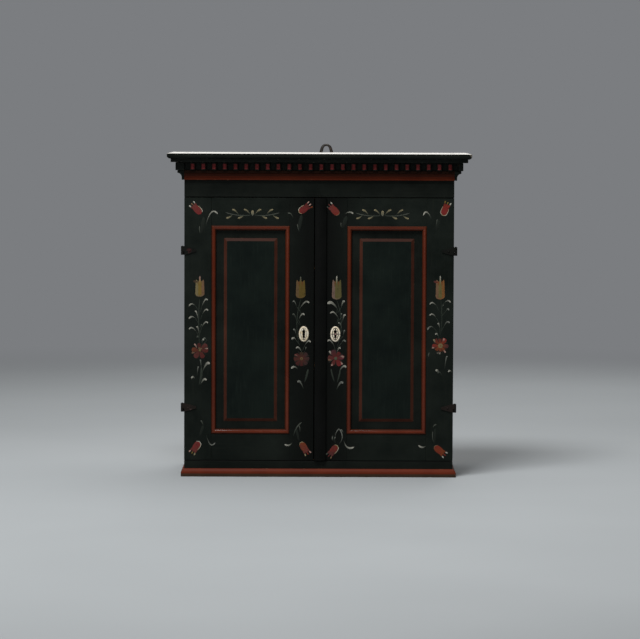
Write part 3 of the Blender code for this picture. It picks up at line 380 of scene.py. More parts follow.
def softenEdges(bm, width, directions, shortest):
    # Rounds the arrises that run along these axes, and marks them for the paint's wear
    rubbed = bm.faces.layers.float.new("rubbed")
    arrises = []
    for edge in bm.edges:
        run = edge.verts[1].co - edge.verts[0].co
        along = max("xyz", key=lambda axis: abs(run[axisNumber[axis]]))
        sharp = edge.is_manifold and edge.calc_face_angle() > radians(arrisLook["sharpFrom"])
        if sharp and along in directions and run.length > shortest * mm:
            arrises.append(edge)
    made = bmesh.ops.bevel(bm, geom=arrises, offset=width * mm, offset_type="OFFSET", affect="EDGES",
                           segments=arrisLook["segments"], profile=0.5, material=-1, clamp_overlap=True)
    for face in made["faces"]:
        face[rubbed] = 1.0


def dressNode(node, slot, materials, pick=None, edge=1.0, directions="xyz", shortest=arrisLook["shortest"],
              colourEnds=(), swell=0.0):
    # colourEnds are the axes and places where a colour ends on the piece, so that its faces stop there.
    # swell is how much wider than its solid a board is, to close the hairline to the next one
    bm = nodeCopy(node)
    if swell:
        low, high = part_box(node)
        bmesh.ops.scale(bm, verts=bm.verts, vec=(1 + swell * mm / (high.x - low.x), 1, 1),
                        space=Matrix.Translation(-(low + high) / 2))
    board = bm.faces.layers.float_vector.new("board")
    number = list(frame["nodes"]).index(node)
    for face in bm.faces:
        face[board] = boardShift * number
    softenEdges(bm, edge, directions, shortest)
    for axis, place in colourEnds:
        normal = Vector([float(letter == axis) for letter in "xyz"])
        bmesh.ops.bisect_plane(bm, geom=bm.verts[:] + bm.edges[:] + bm.faces[:], plane_co=normal * place,
                               plane_no=normal)
    body = frame["nodes"][node]["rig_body"]
    return finishPiece(node + "_finish", bm, body, materials, [node], pick)


# Carcase: painted where it shows from outside, bare inside and at the back

carcaseLook = {"arris": 1.2, "topArris": 0.5, "backSwell": 0.28}
facing, leaning = 0.5, 0.3  # how much of its normal a face has along an axis to count as turned that way


def bareBehind(face):
    return int(face.normal.y > facing)


for word, side in (("left", -1), ("right", 1)):
    def bareInside(face):
        outside = face.normal.x * side > -facing and face.normal.y < facing and face.normal.z > -facing
        return 0 if outside else 1
    dressNode(word + "_side", "green_paint", ["greenPaint_z", "insidePine_z"], bareInside,
              carcaseLook["arris"])
# Painted shade: the faces of the bottom rail and the frieze board that face into the gaps below and above the
# doors take the near-black paint, for the shade in those gaps
for node, gapSide in (("bottom_rail", 1), ("frieze_board", -1)):
    def gapShade(face):
        return 2 if face.normal.z * gapSide > leaning else bareBehind(face)
    dressNode(node, "green_paint", ["greenPaint_x", "insidePine_x", "coverPaint"], gapShade,
              carcaseLook["arris"])
for node in ("lower_shelf", "upper_shelf"):
    dressNode(node, "bare_pine", ["insidePine_x"], edge=carcaseLook["arris"])
# The bottom's front edge takes the front's green paint, which also darkens it as painted shade where it shows
# through the gap under the doors
dressNode("carcase_bottom", "bare_pine", ["insidePine_x", "greenPaint_x"],
          lambda face: int(face.normal.y < -facing), carcaseLook["arris"])
for i in (1, 2, 3):
    dressNode(f"back_board_{i}", "bare_pine", ["insidePine_z"], edge=carcaseLook["arris"],
              swell=carcaseLook["backSwell"])
dressNode("carcase_top", "bare_pine", ["insidePine_x", "topPine"], lambda face: int(face.normal.z > facing),
          carcaseLook["topArris"])
print("carcase dressed")


# Mouldings: run straight from corner to corner, so only the long arrises are softened

mouldingLook = {"arris": 0.7, "toothArris": 1.3, "footHeight": 7.8, "hollowDim": 10.0, "hollowDark": 16.5,
                "toothRed": (3.0, 16.5), "toothFront": 0.6, "toothDepth": 1.5, "crownTop": 0.97,
                "crownBack": 0.9}
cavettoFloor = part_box("cavetto_front")[0].z
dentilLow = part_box("dentil_strip_front")[0]


def crownFaces(face):
    if face.normal.z > mouldingLook["crownTop"]:
        return 1
    return 2 if face.normal.y > mouldingLook["crownBack"] else 0


# The band below footHeight is painted dark brown: a dark fillet at the foot, partly painted shade where the
# moulding meets the floor
def baseFaces(face):
    if face.normal.y > facing:
        return 1
    return 2 if face.calc_center_median().z < mouldingLook["footHeight"] * mm else 0


def cavettoFaces(face):
    # Painted shade: the hollow is painted in two darker reds towards its top, for the shadow that the crown
    # and the teeth cast on it
    centre = face.calc_center_median()
    height = (centre.z - cavettoFloor) / mm
    if face.normal.y > facing:
        return 1
    if abs(centre.x) > sideFace:
        return 2
    return 0 if height < mouldingLook["hollowDim"] else 3 if height < mouldingLook["hollowDark"] else 4


# Painted shade: a tooth's front is red only between the toothRed heights. Above them it takes the dark green
# for the crown's shadow, and below them it is dark as well
def toothFaces(face):
    centre = face.calc_center_median()
    lowest, highest = mouldingLook["toothRed"]
    inFront = centre.y < dentilLow.y + mouldingLook["toothDepth"] * mm and abs(centre.x) < sideFace
    red = inFront and face.normal.y < -mouldingLook["toothFront"]
    return 0 if red and lowest < (centre.z - dentilLow.z) / mm < highest else 1


# The red of the cornice ends at the body's corners: the corner blocks and the returns are dark
for word, run in (("front", "x"), ("left", "y"), ("right", "y")):
    dressNode("crown_" + word, "green_paint", ["crownPaint", "topPine", f"insidePine_{run}"], crownFaces,
              mouldingLook["arris"], run)
    dressNode("base_moulding_" + word, "red_paint", [f"basePaint_{run}", f"insidePine_{run}", "footPaint"],
              baseFaces, mouldingLook["arris"], run, colourEnds=[("z", mouldingLook["footHeight"] * mm)])
for word in ("left", "right"):
    dressNode("cavetto_" + word, "green_paint", ["greenPaint_y"], edge=mouldingLook["arris"], directions="y")
    dressNode("dentil_strip_" + word, "green_paint", ["greenPaint_y"], edge=mouldingLook["toothArris"])
hollowEnds = [("x", -sideFace), ("x", sideFace)]
hollowEnds += [("z", cavettoFloor + mouldingLook[word] * mm) for word in ("hollowDim", "hollowDark")]
dressNode("cavetto_front", "red_paint",
          ["redPaint", "insidePine_x", "greenPaint_x", "deepRedPaint", "sootPaint"], cavettoFaces,
          mouldingLook["arris"], "x", colourEnds=hollowEnds)
toothEnds = [("z", dentilLow.z + height * mm) for height in mouldingLook["toothRed"]]
dressNode("dentil_strip_front", "red_paint", ["toothPaint", "greenPaint_x"], toothFaces,
          mouldingLook["toothArris"], colourEnds=toothEnds)
print("mouldings dressed")


# Doors

doorLook = {"arris": 0.9, "panelArris": 0.6, "frameArris": 0.5, "coverArris": 1.0, "depth": 0.5,
            "slope": (0.25, 0.8),  # of the bevel round the panel's field
            "frameRed": (2.8, 8.6)}  # from the panel moulding's outer edge: the red is fullest between these
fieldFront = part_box("left_door_panel")[0].y


def panelFaces(face):
    least, most = doorLook["slope"]
    if face.normal.y > facing:
        return 2
    # Painted shade: the bevel's faces that look up take a darker copy of its red, to hold them down under the
    # light from above
    if least < max(abs(face.normal.x), abs(face.normal.z)) < most:
        return 4 if face.normal.z > least else 1
    return 3 if face.calc_center_median().y < fieldFront + doorLook["depth"] * mm else 0


for word in ("left", "right"):
    plateLow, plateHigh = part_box(word + "_keyhole_plate")
    frameLow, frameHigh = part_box(f"{word}_door_panel_moulding")

    # Painted shade: the walls of the keyhole cut into the stile take the near-black paint, for the shade
    # inside the hole
    def stileFaces(face):
        centre = face.calc_center_median()
        inSlot = plateLow.x < centre.x < plateHigh.x and plateLow.z < centre.z < plateHigh.z
        return 2 if inSlot and centre.y > doorFace + doorLook["depth"] * mm else bareBehind(face)

    # Painted shade: the moulding's faces outside the frameRed band take a darker red, for the shade on the
    # round sides of the bead
    def frameFaces(face):
        centre = face.calc_center_median()
        inward = min(centre.x - frameLow.x, frameHigh.x - centre.x, centre.z - frameLow.z,
                     frameHigh.z - centre.z)
        least, most = doorLook["frameRed"]
        return 0 if least < inward / mm < most else 1
    for stile in ("hinge_stile", "meeting_stile"):
        dressNode(f"{word}_door_{stile}", "green_paint", ["doorPaint_z", "insidePine_z", "coverPaint"],
                  stileFaces, doorLook["arris"], "xz")
    for rail in ("top_rail", "bottom_rail"):
        dressNode(f"{word}_door_{rail}", "green_paint", ["doorPaint_x", "insidePine_x"], bareBehind,
                  doorLook["arris"], "x")
    dressNode(f"{word}_door_panel", "green_paint",
              ["greenPaint_z", "bevelPaint", "insidePine_z", "fieldPaint", "bevelTopPaint"], panelFaces,
              doorLook["panelArris"])
    redEnds = []
    for axis, number in (("x", 0), ("z", 2)):
        for distance in doorLook["frameRed"]:
            redEnds += [(axis, frameLow[number] + distance * mm), (axis, frameHigh[number] - distance * mm)]
    dressNode(f"{word}_door_panel_moulding", "red_paint", ["framePaint", "flankPaint"], frameFaces,
              doorLook["frameArris"], "xz", colourEnds=redEnds)
dressNode("cover_strip", "green_paint", ["coverPaint", "insidePine_z"], bareBehind,
          doorLook["coverArris"], "z")
print("doors dressed")


# Ironwork

ironArrises = {"edge": 0.35, "shortest": 1.5}
barrelInset = 1.0


def pinFaces(face):
    # The pin that the key turns on, rusty and rubbed, shows in the right keyhole
    return int(face.calc_center_median().y < doorBack)


def barrelFaces(face):
    return int(abs(face.calc_center_median().x) > sideFace - barrelInset * mm)


for node in ("lock_bolt", "lock_keeper", "door_bolt_plate", "door_bolt"):
    dressNode(node, "wrought_iron", ["wroughtIron"], **ironArrises)
dressNode("lock_case", "wrought_iron", ["wroughtIron", "rubbedPin"], pinFaces, **ironArrises)
for word in ("left", "right"):
    for level in ("lower", "upper"):
        for half in ("leaf", "strap"):
            dressNode(f"{word}_{level}_hinge_{half}", "wrought_iron", [level + "HingePaint", "barrelPaint"],
                      barrelFaces, **ironArrises)

loopPiece = finishPiece("hanging_loop_finish", nodeCopy("hanging_loop"), "carcase",
                        ["wroughtIron"], ["hanging_loop"], evenNormals=False)
smoothing = loopPiece.modifiers.new("forged", "SUBSURF")
smoothing.levels = smoothing.render_levels = 2

# Radius, height and facets of each kind of head, and how deep the solids' heads are where there are any
nailSizes = {"hinge": (3.0, 1.6, 7), "plate": (1.7, 0.9, 16), "lock": (2.4, 1.2, 6), "board": (3.2, 1.2, 6)}
nailShape = {"taper": 0.45, "lift": 0.45, "rounding": 0.25, "segments": 2}
solidHeads = {"hinge_nail": ("hinge", 1.4), "plate_pin": ("plate", 0.8)}
front, back = Vector((0, -1, 0)), Vector((0, 1, 0))


def nailHead(bm, seat, radius, height, facets, outward):
    # A head struck with a few hammer blows: a low faceted cone, its rim and top rounded over
    turn = Vector((0, 0, 1)).rotation_difference(outward).to_matrix().to_4x4()
    middle = Vector(seat) + outward * height * nailShape["lift"]
    made = bmesh.ops.create_cone(bm, cap_ends=True, segments=facets, radius1=radius,
                                 radius2=radius * nailShape["taper"], depth=height,
                                 matrix=Matrix.Translation(middle) @ turn)
    edges = {edge for vert in made["verts"] for edge in vert.link_edges}
    rims = [edge for edge in edges if abs((edge.verts[1].co - edge.verts[0].co).dot(outward)) < hairline]
    bmesh.ops.bevel(bm, geom=rims, offset=height * nailShape["rounding"], offset_type="OFFSET",
                    affect="EDGES", segments=nailShape["segments"], profile=0.5, material=-1,
                    clamp_overlap=True)


def nailPiece(name, seats, kind, outward, body, nodes=(), material="wroughtIron"):
    radius, height, facets = nailSizes[kind]
    bm = bmesh.new()
    for seat in seats:
        nailHead(bm, seat, radius * mm, height * mm, facets, outward)
    finishPiece(name, bm, body, [material], nodes, evenNormals=False)


for word in ("left", "right"):
    for level in ("lower", "upper"):
        for nail, (kind, depth) in solidHeads.items():
            node = f"{word}_{level}_{nail}"
            low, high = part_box(node)
            seat = ((low.x + high.x) / 2, low.y + depth * mm, (low.z + high.z) / 2)
            paint = level + "HingePaint" if kind == "hinge" else "barrelPaint"
            nailPiece(node + "_finish", [seat], kind, front, word + "_door", [node], paint)

# Nails that the solids leave out: how far in from the edges they are, and how far past the wood they bear
looseNails = {"lockInset": (8, 4.5), "lockStand": 1.8, "boltInset": (4, 5), "boltStand": 1.5,
              "boardInset": 30, "boardSink": 0.9}


def cornerSeats(node, inset, y):
    low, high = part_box(node)
    insetX, insetZ = inset[0] * mm, inset[1] * mm
    return [(x, y, z) for x in (low.x + insetX, high.x - insetX) for z in (low.z + insetZ, high.z - insetZ)]


lockSeats = cornerSeats("lock_case", looseNails["lockInset"], doorBack + looseNails["lockStand"] * mm)
nailPiece("lock_nails", lockSeats, "lock", back, "right_door")
boltSeats = cornerSeats("door_bolt_plate", looseNails["boltInset"],
                        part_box("door_bolt_plate")[0].y + looseNails["boltStand"] * mm)
nailPiece("bolt_plate_nails", boltSeats, "lock", back, "left_door")
boardSeats = []
inset = looseNails["boardInset"] * mm
levels = [sum(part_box(node), Vector()).z / 2 for node in ("carcase_bottom", "lower_shelf", "upper_shelf")]
for i in (1, 2, 3):
    low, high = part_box(f"back_board_{i}")
    boardSeats += [(x, high.y - looseNails["boardSink"] * mm, z) for x in (low.x + inset, high.x - inset)
                   for z in levels + [high.z - inset]]
nailPiece("back_board_nails", boardSeats, "board", back, "carcase")
print("ironwork dressed")


# Keyhole plates: bone ovals with cut lines round the slot

plateLook = {
    "barHalfWidth": 2.2, "holes": ((5.6, 3.9), (-6.8, 3.2)), "segments": 72,
    # share of the way from the slot to the rim, height above the door, and darkening where it isn't the cut
    # line's: painted shade at the slot's lip and walls, painted shadow along the outer rim
    "section": ((0.0, 0.3, 1.0), (0.0, 2.2, 1.0), (0.06, 2.6, 1.0), (0.16, 2.65, 0.18), (0.42, 2.62, 0.10),
                (0.46, 2.3, None), (0.58, 2.25, None), (0.64, 2.5, 0.0), (0.80, 2.2, 0.0), (0.88, 1.7, 0.1),
                (0.94, 1.3, 0.6), (1.0, 0.8, 1.0), (1.0, 0.3, 1.0)),
    "crackWidth": 1.2, "lineDirt": {"left": 0.65, "right": 1.0}, "sharpAngle": 50,
}


def slotReach(turn):
    # How far the slot's edge is from its centre this way: a narrow bar with a round hole at either end
    reach = plateLook["barHalfWidth"] / max(abs(cos(turn)), 0.01)
    for rise, radius in plateLook["holes"]:
        side = rise * sin(turn)
        inside = radius ** 2 - rise ** 2 + side ** 2
        if side > 0 and inside > 0:
            reach = max(min(reach, abs(rise)), side + sqrt(inside))
    return reach


for word in ("left", "right"):
    node = word + "_keyhole_plate"
    low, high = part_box(node)
    centre, half = (low + high) / 2, (high - low) / 2
    bm = bmesh.new()
    grimeAndShade = bm.verts.layers.float.new("grimeAndShade")

    def ring(share, height, dirt):
        dirt = plateLook["lineDirt"][word] if dirt is None else dirt
        made = bmesh.ops.create_circle(bm, segments=plateLook["segments"], radius=1.0)
        for vert in made["verts"]:
            across, along = vert.co.x, vert.co.y
            reach = slotReach(Vector((across, along)).angle_signed(Vector((1, 0)))) * mm
            x = across * (reach + (half.x - reach) * share)
            z = along * (reach + (half.z - reach) * share)
            vert.co = (centre.x + x, doorFace - height * mm, centre.z + z)
            cracked = word == "right" and abs(z) < plateLook["crackWidth"] * mm
            vert[grimeAndShade] = 1.0 if cracked else dirt
        return list({edge for vert in made["verts"] for edge in vert.link_edges})
    rings = [ring(*row) for row in plateLook["section"]]
    for near, far in zip(rings, rings[1:] + rings[:1]):
        bmesh.ops.bridge_loops(bm, edges=near + far)
    finishPiece(node + "_finish", bm, word + "_door", ["turnedBone"], [node],
                sharpAngle=plateLook["sharpAngle"], evenNormals=False)
print("keyhole plates made")


# Painted flowers. Every stroke is a low closed ridge of paint on the doors' faces

tints = {
    "white": "9a988d", "cream": "7f7559", "silver": "6f7069", "grey": "4b4e46", "leaf": "2d332b",
    "stem": "1f251f", "shade": "191f19", "ground": "101410", "pink": "9a7a70",
    "scarlet": "6c231a", "cherry": "692020", "rose": "4f1d1a", "blush": "5c2b26", "brick": "4f2724",
    "russet": "43211a", "darkRed": "3a1716", "plum": "3a2225", "heather": "572a31", "dusk": "302120",
    "bark": "2b2218", "rust": "5a331c", "orange": "6a3117", "umber": "2a211a", "copper": "5e2f1b",
    "ochre": "6a5726", "straw": "695e40", "sand": "664d38", "dun": "59462d", "khaki": "54451c",
    "fawn": "665247", "moss": "504a2a", "amber": "704a26", "olive": "5c5430", "sage": "464738",
}
strokeLook = {"steps": 12, "across": 4, "sink": 0.1, "crest": 0.28, "layer": 0.07, "thinnest": 0.12,
              "edgeFall": 0.8, "thinCrest": 0.4}
# How fast a stroke widens from its head and narrows to its tail
strokeForms = {"comma": (0.35, 0.95), "petal": (0.45, 0.60), "oval": (0.5, 0.5), "bud": (0.28, 0.28),
               "cup": (0.45, 0.10), "round": (0.32, 0.70), "line": (0.15, 0.25)}


def brushStroke(bm, tint, path, width, colours, form="comma", layer=0):
    # The path has a head, a tail and perhaps a point between them that the stroke bends towards, in mm
    look = strokeLook
    rise, fall = strokeForms[form]
    peak = (rise / (rise + fall)) ** rise * (fall / (rise + fall)) ** fall
    start, end = Vector(path[0]), Vector(path[-1])
    bend = Vector(path[1]) if len(path) == 3 else (start + end) / 2
    first, last = [Vector(linear(tints[colour])) for colour in colours]
    sheet = bmesh.ops.create_grid(bm, x_segments=look["steps"], y_segments=look["across"], size=0.5)["verts"]
    faces = list({face for vert in sheet for face in vert.link_faces})
    for vert in sheet:
        along, across = vert.co.x + 0.5, vert.co.y * 2
        spot = start * (1 - along) ** 2 + bend * 2 * along * (1 - along) + end * along ** 2
        run = ((bend - start) * (1 - along) + (end - bend) * along).normalized()
        fullness = max(along ** rise * (1 - along) ** fall / peak, look["thinnest"])
        spot += Vector((-run.y, run.x)) * across * fullness * width / 2
        crest = look["crest"] * (look["thinCrest"] + (1 - look["thinCrest"]) * fullness)
        height = crest * (1 - look["edgeFall"] * across ** 2) + look["layer"] * layer
        vert.co = (spot.x * mm, doorFace - height * mm, spot.y * mm)
        vert[tint] = first.lerp(last, along)
    grown = bmesh.ops.extrude_face_region(bm, geom=faces)["geom"]
    for item in grown:
        if isinstance(item, bmesh.types.BMVert):
            item.co.y = doorFace + look["sink"] * mm


def motif(name, draw):
    # Rides on the door that its name starts with
    bm = bmesh.new()
    tint = bm.verts.layers.float_color.new("tint")
    draw(lambda *stroke, **more: brushStroke(bm, tint, *stroke, **more))
    finishPiece(name, bm, name.split("_")[0] + "_door", ["flowerPaint"], evenNormals=False)


def pathOf(row, x=0, z=0):
    # The points of a stroke's row: x, z of its head, perhaps of a point to bend towards, and of its tail
    return [(x + row[i], z + row[i + 1]) for i in range(0, len(row) - 1, 2)]


leafLook = {"bend": 0.35, "rise": 6, "spread": 0.2, "droop": 1.5, "fullness": 0.85}


def leaf(stroke, head, tail, width, colours):
    # A hooked comma: its full head droops, and its tail runs down towards the stem
    look = leafLook
    across = tail[0] - head[0]
    top = max(head[1], tail[1]) + look["rise"] + look["spread"] * abs(across)
    path = [(head[0], head[1] - look["droop"]), (head[0] + look["bend"] * across, top), tail]
    stroke(path, look["fullness"] * width, colours, layer=1)


def cupTulip(stroke, base, length, width, colours):
    # An upright cup of three pointed petals with a rounded base, notched at its top, and one thin pale point.
    # Shares are of its width and length
    left, middle, right, fringe, point, flare = colours

    def spot(across, along):
        return (base[0] + across * width, base[1] + along * length)
    for side, colour in ((-1, left), (1, right)):
        stroke([spot(0.38 * side, 1.0), spot(0.22 * side, 0.55), spot(0.30 * side, 0)], 0.46 * width,
               (colour, colour), form="cup")
        stroke([spot(0.18 * side, 0.92), spot(0.15 * side, 0.60)], 0.24 * width, (fringe, middle),
               form="petal", layer=1)
    stroke([spot(0, 1.08), spot(0, -0.02)], 0.42 * width, (middle, middle), form="cup", layer=2)
    stroke([spot(-0.47, 0.09), spot(0, -0.09), spot(0.47, 0.09)], 0.20 * width, (left, right), form="line",
           layer=1)
    if flare:
        stroke([spot(-0.75, 0.92), spot(-0.1, 0.84)], 0.26 * width, (flare, fringe), form="petal")
    stroke([spot(0, 1.22), spot(0, 0.72)], 0.13 * width, (point, middle), layer=3)


def rosette(stroke, centre, radius, petals, lights, inner, heart):
    # Loose petals about a small heart, dark between them, some with a pale stroke along an edge. Shares are
    # of its radius
    def polar(share, degrees):
        way = radians(degrees)
        return (centre[0] + share * radius * cos(way), centre[1] + share * radius * sin(way))
    for degrees, reach, width, colour in petals:
        stroke([polar(reach, degrees), polar(0.1, degrees)], 1.15 * width * radius, (colour, inner),
               form="round")
    ways = sorted(petal[0] for petal in petals)
    for first, second in zip(ways, ways[1:] + [ways[0] + 360]):
        middle = (first + second) / 2
        stroke([polar(1.0, middle), polar(0.32, middle)], 0.12 * radius, ("ground", "umber"), layer=3)
    for outerWay, outer, innerWay, near, colour in lights:
        stroke([polar(outer, outerWay), polar(near, innerWay)], 0.20 * radius, (colour, "fawn"), layer=4)
    reach, ringColour, middleColour = heart
    for share, colour, layer in ((reach, ringColour, 4), (0.4 * reach, middleColour, 5)):
        stroke([polar(share, 180), polar(share, 0)], 2 * share * radius, (colour, colour), form="oval",
               layer=layer)


# Each sprig is drawn about a point on its stem, in mm. Leaves and stems are rows for pathOf that end with a
# width. The tulip is its base x, z, length and width, and the cup's colours are of the left, middle and right
# petals, the ragged top, the point and the flare. The rosette is its place; a petal is its way in degrees,
# reach and width as shares of the radius, and colour; a light is its outer and inner way and reach
sprigLook = {"rosetteRadius": 22, "branchDrop": 13, "branchWidth": 1.4, "branchReach": 0.3}
sprigs = {
    "left_hinge_sprig": {
        "centre": (-305, 321.5), "rosette": (0, 3), "inner": "russet", "heart": (0.13, "olive", "olive"),
        "petals": ((98, 0.85, 0.36, "darkRed"), (40, 1.08, 0.52, "brick"), (2, 1.0, 0.50, "rose"),
                   (-66, 1.0, 0.46, "rose"), (-124, 1.05, 0.50, "brick"), (177, 0.95, 0.52, "copper")),
        "lights": ((130, 1.0, 141, 0.4, "pink"), (14, 0.98, 22, 0.55, "pink"), (197, 1.0, 210, 0.6, "sand"),
                   (107, 0.36, 107, 0.05, "dun"), (52, 0.36, 52, 0.05, "dun")),
        "tulip": (0, 143, 41, 23), "cup": ("straw", "ochre", "sand", "dun", "pink", "umber"),
        "leaves": ((20, 133, 4, 113, 4.5), (-28, 118, -11, 117, 4), (21, 106, 6, 95, 4),
                   (-12, 103, -4, 80, 4), (-28, 85, -11, 85, 4.5), (21, 74, 4, 60, 4), (-28, 58, -8, 50, 4),
                   (-8, 63, -2, 45, 3.5), (10, 30, 5, 22, 4), (25, -31, 8, -50, 7.5),
                   (-21, -68, -13, -70, 5), (17, -73, 2, -85, 6)),
        "dim": ((9, 32, 18, 28, 3.5), (1, -22, 4, -46, 3.4), (-3, -40, -7, -62, 3.6)),
        "faint": ((6, 68, 0, 56, 3), (-7, 37, -2, 32, 4)),
        "stems": ((0, 138, -6, 80, 0, 22, 2.4), (4, -40, 6, -66, -2, -86, 6)),
    },
    "left_meeting_sprig": {
        "centre": (-44, 305.5), "rosette": (0, -1.5), "inner": "russet", "heart": (0.18, "dun", "russet"),
        "petals": ((145, 0.88, 0.42, "darkRed"), (180, 0.92, 0.55, "russet"), (-127, 0.95, 0.50, "darkRed"),
                   (-92, 0.88, 0.50, "darkRed"), (-48, 0.95, 0.42, "dusk"), (0, 0.92, 0.46, "dusk"),
                   (46, 0.92, 0.46, "dusk"), (86, 0.78, 0.50, "bark")),
        "lights": ((150, 0.95, 146, 0.55, "blush"),),
        "tulip": (-3, 156, 44, 24), "cup": ("dun", "khaki", "khaki", "rust", "grey", None),
        "leaves": ((19, 143, -6, 125, 4.5), (7, 112, -8, 98, 5), (-25, 49, -14, 46, 5.5),
                   (23, 42, 8, 32, 5), (-14, 26, 1, 14, 4.5), (-26, -26, -10, -28, 5.5)),
        "dim": ((-23, 145, -13, 132, 4), (-21, 73, -14, 59, 4), (-10, -61, 5, -78, 6), (11, 26, 10, 19, 3)),
        "faint": ((-23, 112, -13, 96, 4),),
        "stems": ((-2, 152, -22, 88, -3, 22, 2), (17, -28, 14, -44, 8, -62, 5)),
    },
    "right_meeting_sprig": {
        "centre": (43.5, 305), "rosette": (0, 0), "inner": "rose", "heart": (0.19, "sage", "sage"),
        "petals": ((110, 1.05, 0.62, "plum"), (58, 0.88, 0.42, "rose"), (12, 1.0, 0.48, "heather"),
                   (-55, 1.02, 0.55, "cherry"), (-116, 0.9, 0.36, "brick"), (178, 0.92, 0.56, "brick")),
        "lights": ((129, 1.15, 141, 0.7, "white"), (8, 1.0, 31, 0.6, "pink"), (-42, 1.05, -32, 0.7, "pink"),
                   (-120, 1.0, -118, 0.7, "pink"), (191, 0.9, 204, 0.5, "sand")),
        "tulip": (2, 153.5, 48, 24), "cup": ("fawn", "moss", "moss", "rust", "white", None),
        "leaves": ((-21, 141, 4, 127, 8.5), (22, 146, 13, 129, 5.5), (-14, 117, 7, 103, 4.5),
                   (24, 111, 17, 95, 5), (-21, 45, -3, 30, 4.5), (12, 26, 3, 14, 4.5), (27, -22, 9, -34, 6)),
        "dim": ((25, 44, 15, 40, 4.5), (14, 114, 16, 107, 3), (6, 91, 17, 72, 3), (23, 71, 19, 57, 3.5),
                (19, -63, 3, -80, 6.5)),
        "faint": (),
        "stems": ((2, 150, 26, 88, 1, 22, 2), (12, -30, 10, -44, 4, -62, 4), (-12, -26, -9, -44, -3, -60, 4)),
    },
    "right_hinge_sprig": {
        "centre": (311, 337), "rosette": (1, 1.5), "inner": "orange", "heart": (0.28, "straw", "amber"),
        "petals": ((-140, 0.78, 0.46, "copper"), (-85, 0.66, 0.50, "copper"), (-58, 0.74, 0.46, "copper"),
                   (-4, 0.95, 0.42, "plum"), (100, 0.84, 0.46, "rose"), (128, 1.0, 0.52, "rose"),
                   (56, 1.02, 0.52, "cherry"), (185, 0.98, 0.50, "cherry")),
        "lights": ((136, 1.1, 150, 0.7, "cream"), (62, 0.95, 60, 0.6, "pink"), (192, 1.0, 206, 0.7, "pink"),
                   (-54, 1.0, -50, 0.6, "pink"), (-95, 1.0, -92, 0.7, "silver"),
                   (-113, 1.0, -104, 0.75, "grey")),
        "tulip": (-0.5, 122.5, 48, 23), "cup": ("sand", "olive", "amber", "orange", "white", "plum"),
        "leaves": ((-27, 109, -9, 103, 4), (26, 114, 10, 111, 4), (-27, 80, -10, 73, 4), (-6, 58, -1, 45, 4),
                   (-12, 31, -4, 25, 4), (-10, -63, -3, -70, 6), (22, -65, 30, -67, 4.5)),
        "dim": ((22, 94, 15, 91, 4.5), (24, 61, 9, 51, 4), (-33, 43, -16, 47, 4.5), (19, -26, 12, -58, 4)),
        "faint": ((8, 105, 5, 98, 3), (-30, -25, -25, -19, 3.5), (-6, -68, 6, -76, 3)),
        "stems": ((1, 118, 8, 70, 0, 22, 1.8),),
    },
}
leafColours = {"leaves": ("white", "leaf"), "dim": ("silver", "leaf"), "faint": ("grey", "stem")}
for name, sprig in sprigs.items():
    def drawSprig(stroke):
        x, z = sprig["centre"]
        radius = sprigLook["rosetteRadius"]
        for row in sprig["stems"]:
            stroke(pathOf(row, x, z), row[-1], ("leaf", "stem"), form="petal")
        for kind, colours in leafColours.items():
            for row in sprig[kind]:
                head, tail = pathOf(row, x, z)
                leaf(stroke, head, tail, row[-1], colours)
                if tail[1] > z + radius:
                    # A thin branch joins the leaf to the stem above the rosette
                    joint = (x + sprigLook["branchReach"] * row[2], tail[1] - sprigLook["branchDrop"])
                    stroke([tail, joint], sprigLook["branchWidth"], ("leaf", "stem"), form="line")
        baseX, baseZ, length, width = sprig["tulip"]
        cupTulip(stroke, (x + baseX, z + baseZ), length, width, sprig["cup"])
        centre = (x + sprig["rosette"][0], z + sprig["rosette"][1])
        rosette(stroke, centre, radius, sprig["petals"], sprig["lights"], sprig["inner"], sprig["heart"])
    motif(name, drawSprig)


